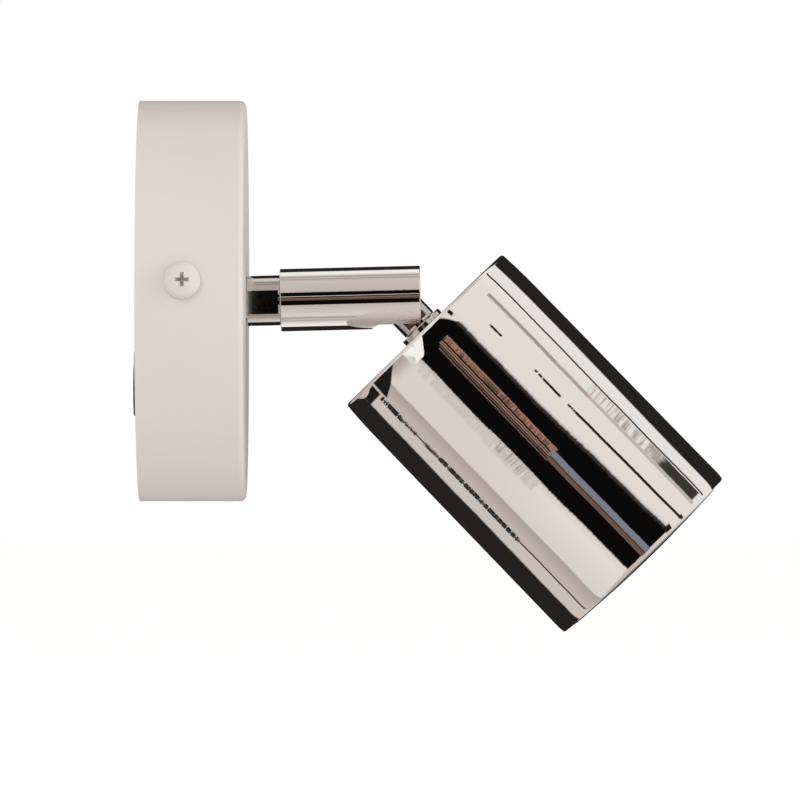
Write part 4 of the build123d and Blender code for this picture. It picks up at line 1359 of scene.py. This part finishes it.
    def arm_side(self, graph: Graph, way: object, front: object) -> bpy.types.NodeSocket:
        """The tent as the tube mirrors it, and as everything else does: dark only in narrow strips.

        Args:
            graph: the world's graph.
            way: the mirrored direction.
            front: how far it points to the lens.

        Returns:
            The colour socket.
        """
        turn = graph.math("DIVIDE", graph.math("ARCCOSINE", front), math.pi)
        over = self.strip(graph, turn, self.over_bands, FULL_TURN / 2, 0.0)
        under = self.strip(graph, turn, self.under_bands, FULL_TURN / 2, 0.0)
        across, _, rise = graph.split(way)
        strips = graph.blend(graph.between(rise, -0.04, 0.04), under, over)
        lens_side = graph.between(turn, 0.30, 0.34, 1.0, 0.0)
        flags, slit = self.zone(graph, across, self.flags), self.zone(graph, across, self.slit)
        kept = graph.blend(lens_side, flags, slit)
        soft = graph.blend(graph.between(rise, -0.8, 0.9), CLAY, PEARL)
        above = graph.between(rise, 0.0, 0.02)
        line = graph.math("MULTIPLY", self.zone(graph, across, self.line_across), above)
        line = graph.math("MULTIPLY", self.zone(graph, turn, self.line_turn), line)
        return graph.blend(line, graph.blend(kept, soft, strips), UMBER)

    def head_side(self, graph: Graph, way: object, front: object, along: object,
                  room: object) -> bpy.types.NodeSocket:
        """The tent as the head's side mirrors it: bands that drift from its rear to its mouth, and marks.

        Args:
            graph: the world's graph.
            way: the mirrored direction.
            front: how far it points to the lens.
            along: how far it points along the head's axis.
            room: the colour past the ends of the dark opening round the lens.

        Returns:
            The colour socket.
        """
        over = tuple(self.head_axis.cross(Vector((0.0, 1.0, 0.0))))
        turn = graph.math("ARCTAN2", graph.vector("DOT_PRODUCT", way, over), front)
        share = graph.math("MULTIPLY_ADD", turn, 0.5 / math.pi, 0.5)
        place = self.place(graph, turn, along)
        strokes = self.pattern(graph, place, share, 150.0, 9.0)
        swing = graph.math("SUBTRACT", self.pattern(graph, place, share, 5.0, 9.0), 0.5)
        swayed = graph.math("MULTIPLY_ADD", swing, self.sway, share)
        seen = self.drifting(graph, place, share, swayed, strokes)
        seen = graph.blend(self.open_ends(graph, share, along), seen, room)
        for mark in self.side_marks:
            seen = graph.blend(self.streak(graph, mark, place, swayed, strokes), seen, mark.colour)
        return seen

    def drifting(self, graph: Graph, place: object, share: object, swayed: object,
                 strokes: object) -> bpy.types.NodeSocket:
        """The bands of the head's side, which lie at other angles and have other colours at its mouth.

        Args:
            graph: the world's graph.
            place: how far along the head.
            share: how far round it, from 0 to 1.
            swayed: the share with its wander.
            strokes: the fine strokes that give the bands teeth.

        Returns:
            The colour socket.
        """
        bands, most = self.side_bands, self.most_shift
        moves = [((rear + mouth) / 2, ((mouth - rear) / (2 * most) + 0.5,) * 3)
                 for rear, mouth, _, _ in bands]
        shift = self.strip(graph, swayed, moves, FULL_TURN, -FULL_TURN / 2)
        shift = graph.math("MULTIPLY", graph.math("SUBTRACT", shift, 0.5), -2 * most / FULL_TURN)
        moved = graph.math("MULTIPLY_ADD", graph.between(place, 0.35, 1.05), shift, swayed)
        teeth = graph.math("MULTIPLY", graph.math("SUBTRACT", strokes, 0.5),
                           self.zone(graph, share, self.toothed))
        moved = graph.math("MULTIPLY_ADD", teeth, self.fray, moved)
        rear, mouth = ([(band[0], band[end]) for band in bands] for end in (2, 3))
        rear = self.strip(graph, moved, rear, FULL_TURN, -FULL_TURN / 2)
        mouth = self.strip(graph, moved, mouth, FULL_TURN, -FULL_TURN / 2)
        return graph.blend(graph.between(place, 0.30, 0.80), rear, mouth)

    def streak(self, graph: Graph, mark: Mark, place: object, swayed: object,
               strokes: object) -> bpy.types.NodeSocket:
        """How much of a mark shows in a mirrored direction.

        Args:
            graph: the world's graph.
            mark: the mark.
            place: how far along the head.
            swayed: how far round it, from 0 to 1, with its wander.
            strokes: the fine strokes that leave gaps in the mark.

        Returns:
            The mark's mask.
        """
        climb = graph.math("MULTIPLY_ADD", place, -mark.rise / FULL_TURN, swayed)
        low, high = 0.5 + mark.low / FULL_TURN, 0.5 + mark.high / FULL_TURN
        where = graph.between(climb, low - mark.soft / FULL_TURN, low)
        where = graph.math("MULTIPLY", where, graph.between(climb, high, high + self.mark_edge, 1.0, 0.0))
        run = place
        if mark.lean:
            leant = graph.math("MULTIPLY_ADD", climb, -FULL_TURN * mark.lean,
                               mark.lean * (FULL_TURN / 2 + mark.low))
            run = graph.math("ADD", place, leant)
        where = graph.math("MULTIPLY", where, self.zone(graph, run, (mark.start, mark.end, mark.fade)))
        edge = 0.72 - 0.44 * mark.cover
        return graph.math("MULTIPLY", where, graph.between(strokes, edge - 0.03, edge + 0.03))

    def place(self, graph: Graph, turn: object, along: object) -> bpy.types.NodeSocket:
        """How far along the head a mirrored direction is seen: below 0 in its rear bend, over 1 in its lip.

        Args:
            graph: the world's graph.
            turn: the direction's angle round the head, from the way to the lens.
            along: how far it points along the head's axis.

        Returns:
            The place, from 0 at the head's rear to 1 at its mouth.
        """
        cosine = graph.math("COSINE", graph.math("MULTIPLY", turn, 0.5))
        lean = graph.math("MULTIPLY_ADD", cosine, self.taper, -self.near_end)
        raw = graph.math("DIVIDE", graph.math("ADD", along, lean), self.far_end - self.near_end)
        wide = graph.math("MAXIMUM", cosine, 0.3)
        behind = graph.math("MINIMUM", graph.math("SUBTRACT", raw, self.rear_bend), 0.0)
        behind = graph.math("DIVIDE", graph.math("MULTIPLY", behind, self.rear_scale), wide)
        beyond = graph.math("MAXIMUM", graph.math("SUBTRACT", raw, self.lip_bend), 0.0)
        beyond = graph.math("DIVIDE", graph.math("MULTIPLY", beyond, self.lip_scale), wide)
        middle = graph.math("MINIMUM", graph.math("MAXIMUM", raw, self.rear_bend), self.lip_bend)
        return graph.math("ADD", middle, graph.math("ADD", behind, beyond))

    @staticmethod
    def pattern(graph: Graph, place: object, share: object, fine: float,
                coarse: float) -> bpy.types.NodeSocket:
        """Noise that is stretched round the head."""
        spot = graph.join(graph.math("MULTIPLY", place, fine), graph.math("MULTIPLY", share, coarse))
        return graph.noise(spot)

    def open_ends(self, graph: Graph, share: object, along: object) -> bpy.types.NodeSocket:
        """Find where the head's drawn-in ends see the tent again, past the ends of the dark opening.

        Args:
            graph: the world's graph.
            share: how far round the head, from 0 to 1.
            along: how far the direction points along the head's axis.

        Returns:
            1 there, and 0 in the opening.
        """
        off_middle = graph.math("SUBTRACT", share, 0.518)
        bow = graph.between(off_middle, -0.02, 0.02, 3.6, 8.6)
        rear_end = graph.math("MULTIPLY_ADD", graph.math("MULTIPLY", off_middle, off_middle), bow, -0.133)
        past_rear = graph.between(graph.math("SUBTRACT", along, rear_end), -0.003, 0.003, 1.0, 0.0)
        past_mouth = graph.between(along, 0.242, 0.252)
        past = graph.math("MAXIMUM", past_rear, past_mouth)
        return graph.math("MULTIPLY", past, self.zone(graph, share, self.opening))


@dataclass(frozen=True)
class Studio:
    """A white room: pale floor, soft lamps, and the tent that polished metal mirrors."""

    floor_drop: float = 0.16
    floor_size: float = 14.0
    floor_colour: Colour = (0.86, 0.86, 0.86)
    floor_glow: float = 0.16
    camera_glow: float = 0.26
    dim: Colour = (0.60, 0.595, 0.59)
    bright: Colour = (0.83, 0.825, 0.82)

    def build(self) -> None:
        """Make the surroundings, the floor and the lamps."""
        self.surroundings()
        self.floor()
        self.lamp("soft_key", (-0.55, -0.95, 0.75), 0.5, 3.2)
        self.lamp("soft_fill", (1.1, -0.30, 0.15), 0.8, 5.0)

    def surroundings(self) -> None:
        """Show white to the camera, a light tent to metal and glass, and soft light to the rest."""
        world = bpy.data.worlds.new("white_room")
        bpy.context.scene.world = world
        world.use_nodes = True
        graph = Graph(world.node_tree)
        seen = Tent().mirrored(graph)
        rays = graph.add("LightPath")
        mirrored = self.mirror_rays(graph, rays)
        front = graph.vector("DOT_PRODUCT", graph.add("TexCoord").outputs["Generated"], TO_LENS)
        soft = graph.blend(graph.between(front, -0.3, 0.9), self.dim, self.bright)
        shown = graph.blend(rays.outputs["Is Camera Ray"], graph.blend(mirrored, soft, seen), WHITE)
        graph.add("OutputWorld", graph.add("Background", shown).outputs[0])

    @staticmethod
    def mirror_rays(graph: Graph, rays: bpy.types.Node) -> bpy.types.NodeSocket:
        """1 for what metal and glass see, from a Light Path node."""
        return graph.math("MAXIMUM", rays.outputs["Is Glossy Ray"], rays.outputs["Is Transmission Ray"])

    def floor(self) -> None:
        """A pale floor that keeps the object's shadow, and that metal and glass see past."""
        bpy.ops.object.select_all(action="DESELECT")
        bpy.ops.mesh.primitive_plane_add(size=self.floor_size, location=(0.0, 0.0, -self.floor_drop))
        floor = bpy.context.object
        floor.name = "studio_floor"
        material = bpy.data.materials.new("studio_floor")
        material.use_nodes = True
        graph = Graph(material.node_tree)
        rays = graph.add("LightPath")
        strength = graph.math("MULTIPLY_ADD", rays.outputs["Is Camera Ray"], self.camera_glow,
                              self.floor_glow)
        matt = graph.add("BsdfDiffuse", self.floor_colour).outputs[0]
        pale = graph.add("AddShader", matt, graph.add("Emission", WHITE, strength).outputs[0]).outputs[0]
        clear = graph.add("BsdfTransparent").outputs[0]
        choice = graph.add("MixShader", self.mirror_rays(graph, rays), pale, clear)
        graph.add("OutputMaterial", choice.outputs[0])
        floor.data.materials.append(material)

    @staticmethod
    def lamp(name: str, spot: tuple[float, float, float], size: float, watts: float) -> None:
        """Hang a square soft lamp that faces the object and that metal doesn't mirror.

        Args:
            name: the lamp's name.
            spot: where it hangs, in metres.
            size: its side.
            watts: its power.
        """
        light = bpy.data.lights.new(name, "AREA")
        light.size = size
        light.energy = watts
        lamp = bpy.data.objects.new(name, light)
        bpy.context.scene.collection.objects.link(lamp)
        lamp.location = spot
        lamp.rotation_euler = Vector(spot).to_track_quat("Z", "Y").to_euler()
        lamp.visible_glossy = False


@dataclass(frozen=True)
class Lens:
    """The photograph's view: level, along +Y, from far away."""

    distance: float = 2.37
    focal_length: float = 427.0
    aim_across: float = 0.0650
    aim_up: float = -0.0247

    def build(self) -> None:
        """Make the camera and use it."""
        camera = bpy.data.objects.new("photo_camera", bpy.data.cameras.new("photo_camera"))
        bpy.context.scene.collection.objects.link(camera)
        camera.data.lens = self.focal_length
        camera.location = (self.aim_across, -self.distance, self.aim_up)
        camera.rotation_euler = (math.radians(90.0), 0.0, 0.0)
        bpy.context.scene.camera = camera


def main() -> None:
    """Dress the nodes, model the pieces, and build the studio and the camera."""
    logging.basicConfig(level=logging.INFO, format="%(name)s: %(message)s")
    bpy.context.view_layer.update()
    finishes = Finishes()
    finishes.dress_nodes()
    for assembly in (RoseFittings, Swivel, Lamp):
        assembly(finishes).build()
    Studio().build()
    Lens().build()
    bpy.context.scene.view_settings.view_transform = "Standard"


if __name__ == "__main__":
    main()
